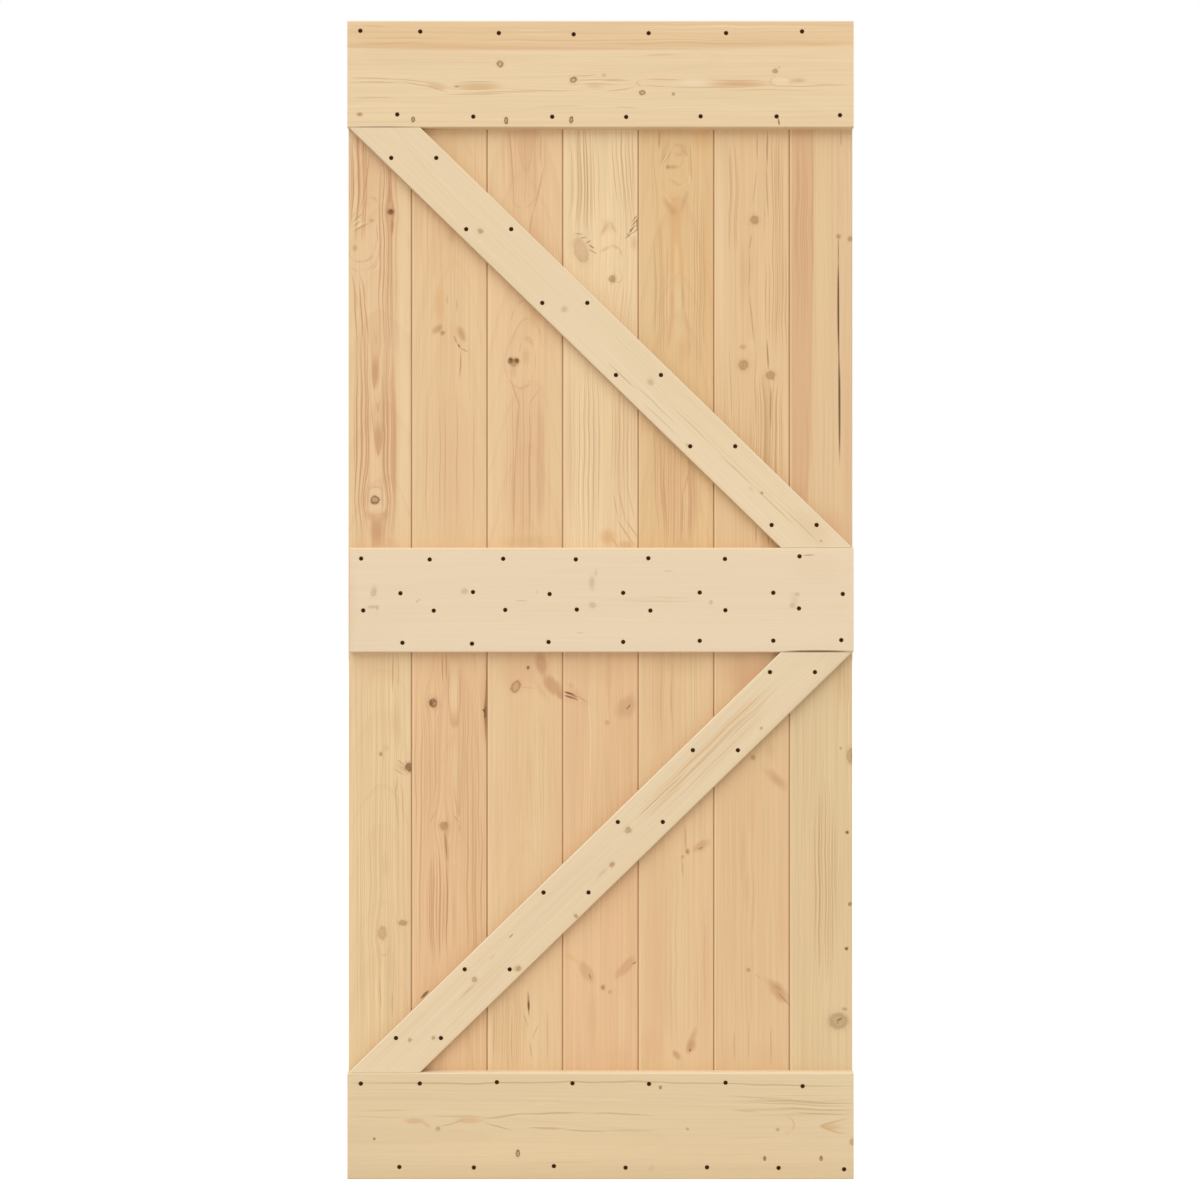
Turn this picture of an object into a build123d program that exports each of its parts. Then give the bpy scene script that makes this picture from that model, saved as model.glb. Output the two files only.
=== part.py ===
from build123d import *
import math
import os

# Ledged and braced barn door leaf: seven tongue and groove planks, with three ledges and two slanted
# braces screwed on from the front. X runs across the door, the front faces -Y and Z is up.
# The origin is the middle of the bottom edge, on the plane where the planks meet the ledges.

# Leaf
door_width = 900.0
door_height = 2060.0

# Planks, grooved along the left edge and tongued along the right
board_thickness = 18.0
edge_board_width = 112.5
full_board_count = 5
board_gap = 0.4
tongue_length = 6.0
tongue_thickness = 5.6
tongue_side_clearance = 0.2
tongue_end_clearance = 0.6
front_bevel = 1.5
back_bevel = 0.6

# Drying split in the right edge plank, placed in the upper opening
split_width = 1.6
split_depth = 5.0
split_across_share = 0.785
split_low_share = 0.199
split_high_share = 0.718

# Ledges and braces
frame_thickness = 18.0
rail_height = 190.0
middle_rail_height = 186.0
edge_round = 2.5
middle_rail_setback = 4.0
brace_width = 89.0
brace_side_inset = 2.0

# Countersunk screws, with flats in place of a turned surface
screw_head_diameter = 8.0
screw_shank_diameter = 4.0
screw_sides = 8
screw_sink = 0.6
screw_point_length = 6.0
screw_tip_cover = 5.0
countersink_angle = 45.0

# Screw rows: distance from the ledge's nearer long edge
top_row_margins = {"upper": 21.5, "lower": 21.5}
middle_row_margins = {"first": 18.0, "second": 82.0, "third": 74.0, "fourth": 16.5}
bottom_row_margins = {"upper": 20.5, "lower": 22.5}

# Where each row's screw sits across each plank, from the plank's left edge
ledge_row_shares = {
    "top_rail": {
        "upper": [0.205, 0.127, 0.161, 0.147, 0.134, 0.154, 0.185],
        "lower": [0.789, 0.825, 0.864, 0.838, 0.819, 0.819, 0.785],
    },
    "middle_rail": {
        "first": [0.218, 0.251, 0.219, 0.175, 0.130, 0.139, 0.145],
        "second": [0.839, 0.821, 0.830, 0.799, 0.807, 0.776, 0.829],
        "third": [0.250, 0.304, 0.246, 0.188, 0.157, 0.145, 0.137],
        "fourth": [0.871, 0.808, 0.816, 0.799, 0.807, 0.776, 0.805],
    },
    "bottom_rail": {
        "upper": [0.213, 0.121, 0.136, 0.131, 0.139, 0.147, 0.194],
        "lower": [0.822, 0.833, 0.887, 0.830, 0.903, 0.845, 0.850],
    },
}

# How far each hand driven screw sits below its row, by the head's diameter
ledge_drop_shares = {
    "top_rail": {
        "upper": [-0.42, -0.24, 0.09, 0.36, 0.11, 0.09, -0.27],
        "lower": [-0.2, 0.29, 0.31, 0.36, 0.22, 0.24, -0.04],
    },
    "middle_rail": {
        "first": [0.18, 0.38, 0.22, 0.36, 0.11, 0.27, -0.31],
        "second": [-0.11, -0.38, 0.07, -0.2, -0.27, -0.22, 0.04],
        "third": [-0.04, 0.0, -0.16, -0.24, -0.02, -0.09, -0.49],
        "fourth": [-0.04, 0.16, -0.22, -0.24, -0.49, -0.51, -0.64],
    },
    "bottom_rail": {
        "upper": [-0.09, -0.11, -0.4, -0.16, -0.02, -0.29, 0.49],
        "lower": [0.07, 0.18, -0.13, 0.22, 0.13, 0.27, 0.58],
    },
}

# Brace screws come in level pairs astride each seam, nudged by a share of the plank's width
brace_pair_half_spacing = 40.0
upper_nudge_shares = [0.041, 0.028, 0.03, 0.0, -0.022, 0.05]
lower_nudge_shares = [0.103, 0.008, 0.046, 0.025, 0.013, 0.028]
upper_drop_shares = [0.43, 0.07, 0.02, 0.13, -0.08, -0.18]
lower_drop_shares = [-0.29, -0.71, -0.76, -0.36, -0.1, -0.8]

# Derived places
board_cover = (door_width - 2 * edge_board_width) / full_board_count
seams = [-door_width / 2 + edge_board_width + i * board_cover for i in range(full_board_count + 1)]
board_edges = [-door_width / 2] + seams + [door_width / 2]
board_spans = list(zip(board_edges[:-1], board_edges[1:]))
opening_height = (door_height - 2 * rail_height - middle_rail_height) / 2
bottom_rail_top = rail_height
middle_rail_bottom = bottom_rail_top + opening_height
middle_rail_top = middle_rail_bottom + middle_rail_height
top_rail_bottom = middle_rail_top + opening_height
groove_depth = tongue_length - board_gap + tongue_end_clearance
groove_thickness = tongue_thickness + 2 * tongue_side_clearance
shank_radius = screw_shank_diameter / 2
cone_depth = screw_sink + screw_head_diameter / 2 / math.tan(math.radians(countersink_angle))
point_depth = frame_thickness + board_thickness - screw_tip_cover
shank_end_depth = point_depth - screw_point_length

# A brace is a parallelogram with level ends. Its end is wide enough to leave brace_width across the grain.
brace_span = door_width - 2 * brace_side_inset
brace_reach = math.hypot(brace_span, opening_height)
brace_rise = opening_height**2 - brace_width**2
brace_root = math.sqrt((brace_width * brace_span) ** 2 + brace_rise * brace_reach**2)
brace_end = brace_width * (brace_root - brace_width * brace_span) / brace_rise

front_face = Plane.XZ.offset(frame_thickness)


# Screw, or the hole that it leaves, along -Z from the timber's face. The hole starts at zero depth.
# The head is a pyramid whose tip is lost in the shank, and the point is a second one.
def countersunk(face_depth):
    face_radius = (cone_depth - face_depth) * math.tan(math.radians(countersink_angle))
    with BuildPart() as form:
        with BuildSketch(Plane.XY.offset(-face_depth)) as head:
            RegularPolygon(face_radius, screw_sides, major_radius=False)
        loft(sections=[head.sketch.face(), Vertex(0, 0, -cone_depth)], ruled=True)
        with BuildSketch(Plane.XY.offset(-face_depth)) as shank:
            RegularPolygon(shank_radius, screw_sides, major_radius=False)
        extrude(to_extrude=shank.sketch, amount=-(shank_end_depth - face_depth))
        with BuildSketch(Plane.XY.offset(-shank_end_depth)) as point:
            RegularPolygon(shank_radius, screw_sides, major_radius=False)
        loft(sections=[point.sketch.face(), Vertex(0, 0, -point_depth)], ruled=True)
    return form.part


screw = countersunk(screw_sink)
screw_hole = countersunk(0)


# One screw, or one hole, at each place on the door's face
def driven_in(form, places):
    with BuildPart(front_face) as group:
        with Locations(*places):
            add(form)
    return group


# Places in a ledge, row by row: one screw to each plank
def ledge_places(rail, row_heights):
    places = []
    for row, height in row_heights.items():
        row_table = zip(board_spans, ledge_row_shares[rail][row], ledge_drop_shares[rail][row])
        for (left, right), share, drop in row_table:
            places.append((left + share * (right - left), height - drop * screw_head_diameter))
    return places


# Places on a brace that climbs from low_x to high_x: level pairs, their middles near its centre line
def brace_places(bottom, low_x, high_x, nudge_shares, drop_shares):
    places = []
    for seam, share, drop in zip(seams, nudge_shares, drop_shares):
        middle = seam + share * board_cover
        height = bottom + opening_height * (middle - low_x) / (high_x - low_x) - drop * screw_head_diameter
        places.append((middle - brace_pair_half_spacing, height))
        places.append((middle + brace_pair_half_spacing, height))
    return places


# Plank section, seen from above: V bevels at the front, smaller ones at the back
def plank(left, right, grooved, tongued, holes):
    face_left = left + board_gap / 2 if grooved else left
    face_right = right - board_gap / 2 if tongued else right
    middle = board_thickness / 2
    right_edge = [(face_right, 0), (face_right, board_thickness)]
    left_edge = [(face_left, board_thickness), (face_left, 0)]
    if tongued:
        right_edge = [
            (face_right - front_bevel, 0),
            (face_right, front_bevel),
            (face_right, middle - tongue_thickness / 2),
            (face_right + tongue_length, middle - tongue_thickness / 2),
            (face_right + tongue_length, middle + tongue_thickness / 2),
            (face_right, middle + tongue_thickness / 2),
            (face_right, board_thickness - back_bevel),
            (face_right - back_bevel, board_thickness),
        ]
    if grooved:
        left_edge = [
            (face_left + back_bevel, board_thickness),
            (face_left, board_thickness - back_bevel),
            (face_left, middle + groove_thickness / 2),
            (face_left + groove_depth, middle + groove_thickness / 2),
            (face_left + groove_depth, middle - groove_thickness / 2),
            (face_left, middle - groove_thickness / 2),
            (face_left, front_bevel),
            (face_left + front_bevel, 0),
        ]
    with BuildPart() as board:
        with BuildSketch():
            with BuildLine():
                Polyline(*right_edge, *left_edge, close=True)
            make_face()
        extrude(amount=door_height)
        add(holes, mode=Mode.SUBTRACT)
    return board


# Spindle shaped crack, open at the plank's front face
def drying_split(left, right):
    across = left + split_across_share * (right - left)
    low = middle_rail_top + split_low_share * opening_height
    high = middle_rail_top + split_high_share * opening_height
    widest = (low + high) / 2
    with BuildPart() as split_form:
        with BuildSketch(Plane.XZ):
            with BuildLine():
                ThreePointArc((across, low), (across + split_width / 2, widest), (across, high))
                ThreePointArc((across, high), (across - split_width / 2, widest), (across, low))
            make_face()
        extrude(amount=-split_depth)
    return split_form.part


# Ledge or brace: a flat piece with its two long front edges rounded, then drilled
def front_timber(corners, holes):
    with BuildPart() as timber:
        with BuildSketch(Plane.XZ):
            with BuildLine():
                Polyline(*corners, close=True)
            make_face()
        extrude(amount=frame_thickness)
        front_edges = timber.edges().group_by(Axis.Y)[0]
        fillet(front_edges.sort_by(SortBy.LENGTH)[-2:], radius=edge_round)
        add(holes, mode=Mode.SUBTRACT)
    return timber


def rail_corners(left, bottom, height):
    right = door_width / 2
    return [(left, bottom), (right, bottom), (right, bottom + height), (left, bottom + height)]


# Level cuts at both ends, at the low end's and the high end's middle
def brace_corners(bottom, low_x, high_x):
    top = bottom + opening_height
    half_end = brace_end / 2
    return [
        (low_x - half_end, bottom),
        (low_x + half_end, bottom),
        (high_x + half_end, top),
        (high_x - half_end, top),
    ]


door_left = -door_width / 2
brace_left = -brace_span / 2 + brace_end / 2
brace_right = brace_span / 2 - brace_end / 2

top_row_heights = {
    "upper": door_height - top_row_margins["upper"],
    "lower": top_rail_bottom + top_row_margins["lower"],
}
middle_row_heights = {
    "first": middle_rail_top - middle_row_margins["first"],
    "second": middle_rail_top - middle_row_margins["second"],
    "third": middle_rail_bottom + middle_row_margins["third"],
    "fourth": middle_rail_bottom + middle_row_margins["fourth"],
}
bottom_row_heights = {
    "upper": bottom_rail_top - bottom_row_margins["upper"],
    "lower": bottom_row_margins["lower"],
}
screw_places = {
    "top_rail": ledge_places("top_rail", top_row_heights),
    "middle_rail": ledge_places("middle_rail", middle_row_heights),
    "bottom_rail": ledge_places("bottom_rail", bottom_row_heights),
    "upper_brace": brace_places(
        middle_rail_top, brace_right, brace_left, upper_nudge_shares, upper_drop_shares
    ),
    "lower_brace": brace_places(
        bottom_rail_top, brace_left, brace_right, lower_nudge_shares, lower_drop_shares
    ),
}
timber_corners = {
    "top_rail": rail_corners(door_left, top_rail_bottom, rail_height),
    "middle_rail": rail_corners(door_left + middle_rail_setback, middle_rail_bottom, middle_rail_height),
    "bottom_rail": rail_corners(door_left, 0, rail_height),
    "upper_brace": brace_corners(middle_rail_top, brace_right, brace_left),
    "lower_brace": brace_corners(bottom_rail_top, brace_left, brace_right),
}

pieces = {}
for name, places in screw_places.items():
    pieces[name] = front_timber(timber_corners[name], driven_in(screw_hole, places).part)
    pieces[name + "_screws"] = driven_in(screw, places)

all_places = sum(screw_places.values(), [])
for number, (left, right) in enumerate(board_spans, start=1):
    holes = driven_in(screw_hole, [place for place in all_places if left < place[0] < right]).part
    first = number == 1
    last = number == len(board_spans)
    if last:
        holes = holes + drying_split(left, right)
    name = "edge_board_left" if first else "edge_board_right" if last else f"board_{number}"
    pieces[name] = plank(left, right, not first, not last, holes)

os.makedirs("parts", exist_ok=True)
for name, piece in pieces.items():
    piece.part.label = name
    export_step(piece.part, f"parts/{name}.step")
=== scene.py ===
import math

import bmesh
import bpy
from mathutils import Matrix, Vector


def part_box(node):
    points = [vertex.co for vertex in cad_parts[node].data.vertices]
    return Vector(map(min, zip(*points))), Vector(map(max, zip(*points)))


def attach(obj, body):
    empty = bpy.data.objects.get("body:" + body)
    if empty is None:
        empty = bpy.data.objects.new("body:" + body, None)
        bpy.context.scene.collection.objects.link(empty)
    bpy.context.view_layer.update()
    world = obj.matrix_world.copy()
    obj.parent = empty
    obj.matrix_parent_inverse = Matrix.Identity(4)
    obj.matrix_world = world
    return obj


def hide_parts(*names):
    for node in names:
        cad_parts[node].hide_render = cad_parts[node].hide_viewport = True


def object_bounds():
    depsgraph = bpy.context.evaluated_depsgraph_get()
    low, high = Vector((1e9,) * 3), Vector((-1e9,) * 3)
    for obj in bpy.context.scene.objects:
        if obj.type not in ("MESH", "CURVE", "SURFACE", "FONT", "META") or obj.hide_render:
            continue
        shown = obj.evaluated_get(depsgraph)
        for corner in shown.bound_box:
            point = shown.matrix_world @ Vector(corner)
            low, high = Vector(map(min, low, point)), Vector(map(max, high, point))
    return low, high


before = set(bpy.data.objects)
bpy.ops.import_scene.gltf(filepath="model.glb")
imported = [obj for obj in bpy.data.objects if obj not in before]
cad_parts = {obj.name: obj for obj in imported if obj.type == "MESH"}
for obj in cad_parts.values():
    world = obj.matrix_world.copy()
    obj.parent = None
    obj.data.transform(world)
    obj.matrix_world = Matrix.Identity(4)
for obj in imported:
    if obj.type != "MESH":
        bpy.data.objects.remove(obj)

scene = bpy.context.scene
cadLow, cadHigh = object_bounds()

# How the picture sees the leaf, in pixels of a 1200 x 1200 frame
viewOfLeaf = {
    "imageSize": 1200.0,
    "leafPixels": 1159.0,  # leaf height in the picture
    "middle": (600.5, 600.0),
    "distance": 3.5,  # camera to the ledges' face, m
    "waist": 0.0079,  # share by which the lens narrows the leaf at mid height
    "sensor": 36.0,  # mm
}
pixel = (cadHigh.z - cadLow.z) / viewOfLeaf["leafPixels"]
ledgeFace = cadLow.y
midHeight = (cadHigh.z + cadLow.z) / 2
levelGap = 1e-5  # corners closer than this lie on one level, m


def placeOnLeaf(px, py, depth):
    middleX, middleY = viewOfLeaf["middle"]
    away = 1 + (depth - ledgeFace) / viewOfLeaf["distance"]
    rise = (py - middleY) / (viewOfLeaf["leafPixels"] / 2)
    wide = 1 + viewOfLeaf["waist"] * (1 - min(1, rise * rise))
    return Vector(((px - middleX) * pixel * wide * away, depth, midHeight - (py - middleY) * pixel * away))


# From a screen colour to linear light
screenCurve = {"full": 255, "toe": 0.04045, "toeSlope": 12.92, "lift": 0.055, "power": 2.4}
white = (1.0, 1.0, 1.0, 1.0)


def tone(red, green, blue):
    light = []
    for channel in (red, green, blue):
        share = channel / screenCurve["full"]
        if share <= screenCurve["toe"]:
            light.append(share / screenCurve["toeSlope"])
        else:
            light.append(((share + screenCurve["lift"]) / (1 + screenCurve["lift"])) ** screenCurve["power"])
    return (*light, 1.0)


# Node helpers: a value is a number, a colour, a vector or another node's socket
def feed(socket, value):
    if isinstance(value, bpy.types.NodeSocket):
        socket.id_data.links.new(value, socket)
    else:
        socket.default_value = value


# A new node in the tree that the values' sockets belong to
def newNode(kind, *values):
    tree = next(value.id_data for value in values if isinstance(value, bpy.types.NodeSocket))
    return tree.nodes.new(kind)


def worked(kind, operation, values):
    node = newNode(kind, *values)
    node.operation = operation
    for socket, value in zip(node.inputs, values):
        feed(socket, value)
    return node.outputs


def maths(operation, *values):
    return worked("ShaderNodeMath", operation, values)[0]


def times(*values):
    return maths("MULTIPLY", *values)


def plus(*values):
    return maths("ADD", *values)


def minus(*values):
    return maths("SUBTRACT", *values)


def vectors(operation, *values):
    outputs = worked("ShaderNodeVectorMath", operation, values)
    return outputs["Value" if operation in ("DOT_PRODUCT", "LENGTH") else "Vector"]


def scaled(vector, amount):
    node = newNode("ShaderNodeVectorMath", vector, amount)
    node.operation = "SCALE"
    feed(node.inputs[0], vector)
    feed(node.inputs["Scale"], amount)
    return node.outputs["Vector"]


def ramp(value, start, end, low=0.0, high=1.0, smooth=True):
    node = newNode("ShaderNodeMapRange", value)
    node.interpolation_type = "SMOOTHSTEP" if smooth else "LINEAR"
    labels = ("Value", "From Min", "From Max", "To Min", "To Max")
    for label, given in zip(labels, (value, start, end, low, high)):
        feed(node.inputs[label], given)
    return node.outputs["Result"]


# Sockets 6, 7 and 2 are a Mix node's two colours and its result
def blend(share, first, second):
    node = newNode("ShaderNodeMix", share, first, second)
    node.data_type = "RGBA"
    feed(node.inputs[0], share)
    feed(node.inputs[6], first)
    feed(node.inputs[7], second)
    return node.outputs[2]


# Stretch is in waves per metre across the grain, along it and into the wood
def grainNoise(place, stretch, detail, output="Fac"):
    node = newNode("ShaderNodeTexNoise", place)
    feed(node.inputs["Vector"], vectors("MULTIPLY", place, stretch))
    node.inputs["Scale"].default_value = 1.0
    node.inputs["Detail"].default_value = detail
    return node.outputs[output]


noiseMean = 0.5


def parts(vector):
    node = newNode("ShaderNodeSeparateXYZ", vector)
    feed(node.inputs[0], vector)
    return node.outputs


def bumpFrom(shader, height, strength, distance):
    bump = newNode("ShaderNodeBump", height)
    bump.inputs["Strength"].default_value = strength
    bump.inputs["Distance"].default_value = distance
    feed(bump.inputs["Height"], height)
    feed(shader.inputs["Normal"], bump.outputs["Normal"])


def newMaterial(name):
    material = bpy.data.materials.new(name)
    material.use_nodes = True
    return material, material.node_tree, material.node_tree.nodes["Principled BSDF"]


def newGroup(name, wanted, given):
    kinds = {"F": "NodeSocketFloat", "V": "NodeSocketVector", "C": "NodeSocketColor"}
    tree = bpy.data.node_groups.new(name, "ShaderNodeTree")
    for label, kind in wanted:
        tree.interface.new_socket(name=label, in_out="INPUT", socket_type=kinds[kind])
    for label, kind in given:
        tree.interface.new_socket(name=label, in_out="OUTPUT", socket_type=kinds[kind])
    return tree, tree.nodes.new("NodeGroupInput").outputs, tree.nodes.new("NodeGroupOutput").inputs


def useGroup(group, **values):
    node = newNode("ShaderNodeGroup", *values.values())
    node.node_tree = group
    for label, value in values.items():
        feed(node.inputs[label], value)
    return node.outputs


# Pine: rings round a pith that leans along the plank, with slow bands and fine streaks.
# A noise is its stretch and its detail; a span is where a value starts and where it is full.
pineFigure = {
    "sway": ((6.0, 1.5, 6.0), 2.0), "streak": ((90.0, 1.6, 90.0), 3.0),
    "fine": ((430.0, 4.0, 430.0), 1.0), "fineSpan": (0.3, 0.7), "fineWeight": 1.3,
    "bands": ((16.0, 0.7, 16.0), 1.0), "bandSpan": (0.42, 0.7),
    "unevenPace": 0.6, "unevenReach": 1.6,  # rings of uneven width
    "lateRise": (0.6, 0.92), "lateFall": (1.0, 0.94), "palestRing": 0.3,
}


def makePine():
    tree, got, out = newGroup(
        "pine",
        [("place", "V"), ("flow", "V"), ("seed", "V"), ("pith", "V"), ("ringWidth", "F"), ("wander", "F"),
         ("ground", "C"), ("line", "C"), ("lineShare", "F"), ("heart", "C"), ("heartShare", "F"),
         ("streakShare", "F")],
        [("colour", "C"), ("streak", "F")],
    )
    spot = vectors("ADD", got["place"], got["seed"])
    slow = parts(grainNoise(spot, *pineFigure["sway"], "Color"))
    across, along, depth = parts(got["flow"])
    pithAcross, pithDepth, pithLean = parts(got["pith"])
    sway = times(minus(slow[0], noiseMean), got["wander"])
    dip = times(minus(slow[1], noiseMean), got["wander"])
    aside = minus(plus(across, sway), pithAcross)
    sunk = plus(minus(depth, pithDepth), dip)
    sunk = minus(sunk, times(along, pithLean))
    radius = maths("SQRT", plus(times(aside, aside), times(sunk, sunk)))
    years = maths("DIVIDE", radius, got["ringWidth"])
    uneven = tree.nodes.new("ShaderNodeTexNoise")
    uneven.noise_dimensions = "1D"
    pace = times(years, pineFigure["unevenPace"])
    feed(uneven.inputs["W"], plus(pace, parts(got["seed"])[0]))
    uneven.inputs["Scale"].default_value = 1.0
    years = plus(years, times(uneven.outputs["Fac"], pineFigure["unevenReach"]))
    season = maths("FRACT", years)
    chance = tree.nodes.new("ShaderNodeTexWhiteNoise")
    chance.noise_dimensions = "1D"
    feed(chance.inputs["W"], maths("FLOOR", years))
    strength = ramp(chance.outputs["Value"], 0.0, 1.0, pineFigure["palestRing"], 1.0, False)
    late = times(ramp(season, *pineFigure["lateRise"]), strength)
    late = times(late, ramp(season, *pineFigure["lateFall"]))
    streak = grainNoise(spot, *pineFigure["streak"])
    fine = ramp(grainNoise(spot, *pineFigure["fine"]), *pineFigure["fineSpan"], smooth=False)
    bands = ramp(grainNoise(spot, *pineFigure["bands"]), *pineFigure["bandSpan"])
    colour = blend(times(late, got["lineShare"]), got["ground"], got["line"])
    colour = blend(times(bands, got["heartShare"]), colour, got["heart"])
    fineSwing = times(minus(fine, noiseMean), pineFigure["fineWeight"])
    swing = plus(minus(streak, noiseMean), fineSwing)
    feed(out["colour"], scaled(colour, plus(times(swing, got["streakShare"]), 1.0)))
    feed(out["streak"], streak)
    return tree


# A knot pushes the grain aside, less and less over the reach that its offset is counted in
def makeKnotPush():
    tree, got, out = newGroup("knotPush", [("flow", "V"), ("offset", "V"), ("push", "V")], [("flow", "V")])
    apart = vectors("DOT_PRODUCT", got["offset"], got["offset"])
    near = maths("EXPONENT", times(apart, -1.0))
    shift = scaled(vectors("MULTIPLY", got["offset"], got["push"]), near)
    feed(out["flow"], vectors("SUBTRACT", got["flow"], shift))
    return tree


# A knot's halo, body, bark ring and pith, in shares of its own radius
knotForm = {
    "halo": (2.4, 0.7), "body": (1.25, 0.65), "pith": (0.5, 0.0),
    "barkRadius": 0.85, "barkWidth": 0.26,
    "mottleSpan": (-0.12, 0.12), "palestMottle": 0.72,
}


def makeKnotPaint():
    tree, got, out = newGroup(
        "knotPaint",
        [("colour", "C"), ("radius", "F"), ("wobble", "F"), ("body", "C"), ("bark", "C"),
         ("bodyShare", "F"), ("barkShare", "F"), ("pithShare", "F"), ("haloShare", "F")],
        [("colour", "C")],
    )
    edge = plus(got["radius"], got["wobble"])
    halo = times(ramp(edge, *knotForm["halo"]), got["haloShare"])
    mottled = ramp(got["wobble"], *knotForm["mottleSpan"], knotForm["palestMottle"], 1.0)
    body = times(times(ramp(edge, *knotForm["body"]), got["bodyShare"]), mottled)
    off = maths("DIVIDE", minus(edge, knotForm["barkRadius"]), knotForm["barkWidth"])
    ring = maths("EXPONENT", times(times(off, off), -1.0))
    bark = times(ring, got["barkShare"])
    pith = times(ramp(edge, *knotForm["pith"]), got["pithShare"])
    colour = blend(halo, got["colour"], got["body"])
    colour = blend(body, colour, got["body"])
    colour = blend(bark, colour, got["bark"])
    feed(out["colour"], blend(pith, colour, got["bark"]))
    return tree


# Nested arches of a cathedral figure, with its tip at zero and its mouth at one
archForm = {
    "lineAfter": (0.3, 0.0), "lineBefore": (0.9, 1.0),
    "tip": (-0.06, 0.02), "mouth": (1.0, 0.35), "fill": (0.0, 0.25),
}


def makeArch():
    tree, got, out = newGroup(
        "arch",
        [("colour", "C"), ("offset", "V"), ("count", "F"), ("power", "F"), ("tint", "C"),
         ("lineShare", "F"), ("fillShare", "F")],
        [("colour", "C")],
    )
    aside, along = parts(got["offset"])[:2]
    bend = maths("POWER", maths("ABSOLUTE", aside), got["power"])
    inside = minus(along, bend)
    season = maths("FRACT", times(inside, got["count"]))
    rim = plus(ramp(season, *archForm["lineAfter"]), ramp(season, *archForm["lineBefore"]))
    fade = times(ramp(inside, *archForm["tip"]), ramp(along, *archForm["mouth"]))
    lines = times(times(rim, fade), got["lineShare"])
    fill = times(times(ramp(inside, *archForm["fill"]), fade), got["fillShare"])
    feed(out["colour"], blend(maths("MAXIMUM", lines, fill), got["colour"], got["tint"]))
    return tree


pine = makePine()
knotPush = makeKnotPush()
knotPaint = makeKnotPaint()
archPaint = makeArch()
print("grain nodes ready")

tints = {
    "red": tone(212, 164, 122), "pink": tone(220, 176, 133), "rust": tone(190, 138, 96),
    "redLine": tone(204, 154, 112), "orange": tone(218, 170, 114), "tan": tone(211, 174, 126),
    "brown": tone(160, 118, 76), "brownLine": tone(194, 152, 106), "dark": tone(104, 70, 36),
    "grey": tone(196, 170, 134), "olive": tone(186, 160, 116), "yellow": tone(226, 200, 150),
    "pale": tone(236, 208, 164), "cream": tone(242, 223, 190),
}
# body and bark tones, then the shares of body, bark ring, pith and halo
knotKinds = {
    "dark": (tone(150, 106, 64), tone(98, 62, 28), (0.95, 0.6, 0.55, 0.3)),
    "ring": (tone(186, 146, 106), tone(128, 86, 48), (0.9, 0.85, 0.15, 0.2)),
    "eye": (tone(202, 168, 124), tone(136, 104, 64), (0.8, 0.9, 0.35, 0.15)),
    "bark": (tone(188, 156, 108), tone(100, 74, 36), (0.75, 0.95, 0.6, 0.1)),
    "oval": (tone(204, 162, 118), tone(160, 114, 72), (0.85, 0.75, 0.25, 0.15)),
    "pale": (tone(211, 176, 134), tone(196, 158, 114), (0.8, 0.25, 0.0, 0.25)),
    "soft": (tone(188, 148, 104), tone(168, 126, 82), (0.9, 0.45, 0.4, 0.25)),
    "warm": (tone(206, 166, 120), tone(186, 142, 98), (0.85, 0.4, 0.3, 0.25)),
    "grey": (tone(190, 158, 117), tone(166, 132, 94), (0.85, 0.4, 0.25, 0.2)),
    "faint": (tone(210, 183, 145), tone(194, 166, 128), (0.75, 0.35, 0.3, 0.2)),
}


# Length of a brace's level end, from its CAD solid
def braceEnd(node):
    corners = [v.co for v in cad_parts[node].data.vertices]
    lowest = min(c.z for c in corners)
    ends = [c.x for c in corners if c.z < lowest + levelGap]
    return max(ends) - min(ends)


# Where a timber's grain runs: the point it starts from, and unit vectors across and along it
def grainOf(kind, node):
    low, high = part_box(node)
    middle = (low + high) / 2
    if kind == "plank":
        return Vector((middle.x, 0, 0)), Vector((1, 0, 0)), Vector((0, 0, 1))
    if kind == "ledge":
        return Vector((0, 0, middle.z)), Vector((0, 0, 1)), Vector((1, 0, 0))
    slope = Vector((high.x - low.x - braceEnd(node), 0, high.z - low.z)).normalized()
    if kind == "fallingBrace":
        slope.x = -slope.x
    return Vector((middle.x, 0, middle.z)), Vector((slope.z, 0, -slope.x)), slope


# How features are painted: radii in shares of a feature's own size, noises as stretch and detail
paintForm = {
    "waver": ((22.0, 11.0, 0.0), 1.0), "waverPixels": 4.5,
    "knotSwing": (2.4, 4.5),  # reach of a knot's push, in knot sizes across and along
    "stainEdge": 1.35, "coreEdge": 0.44, "stainRough": 0.9,
    "teeth": ((420.0, 1.3, 0.0), 0.0), "toothSpan": (0.5, 0.66), "combEdge": (1.1, 0.7),
    "lineEdge": (1.15, 0.4), "crackEdge": (1.15, 0.5),
    "breaks": ((70.0, 45.0, 0.0), 1.0), "breakSpan": (0.36, 0.62), "faintestHoop": 0.15,
    "hoopRadius": 1.25, "hoopWaver": 0.5, "hoopCore": 0.2, "hoopHalf": (-0.15, 0.35),
    "wobble": ((240.0, 150.0, 240.0), 2.0), "wobblePixels": 5.0,
}


# Values left out at the end of a feature's row are zero
def filled(row, length):
    return row + (0,) * (length - len(row))


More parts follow.
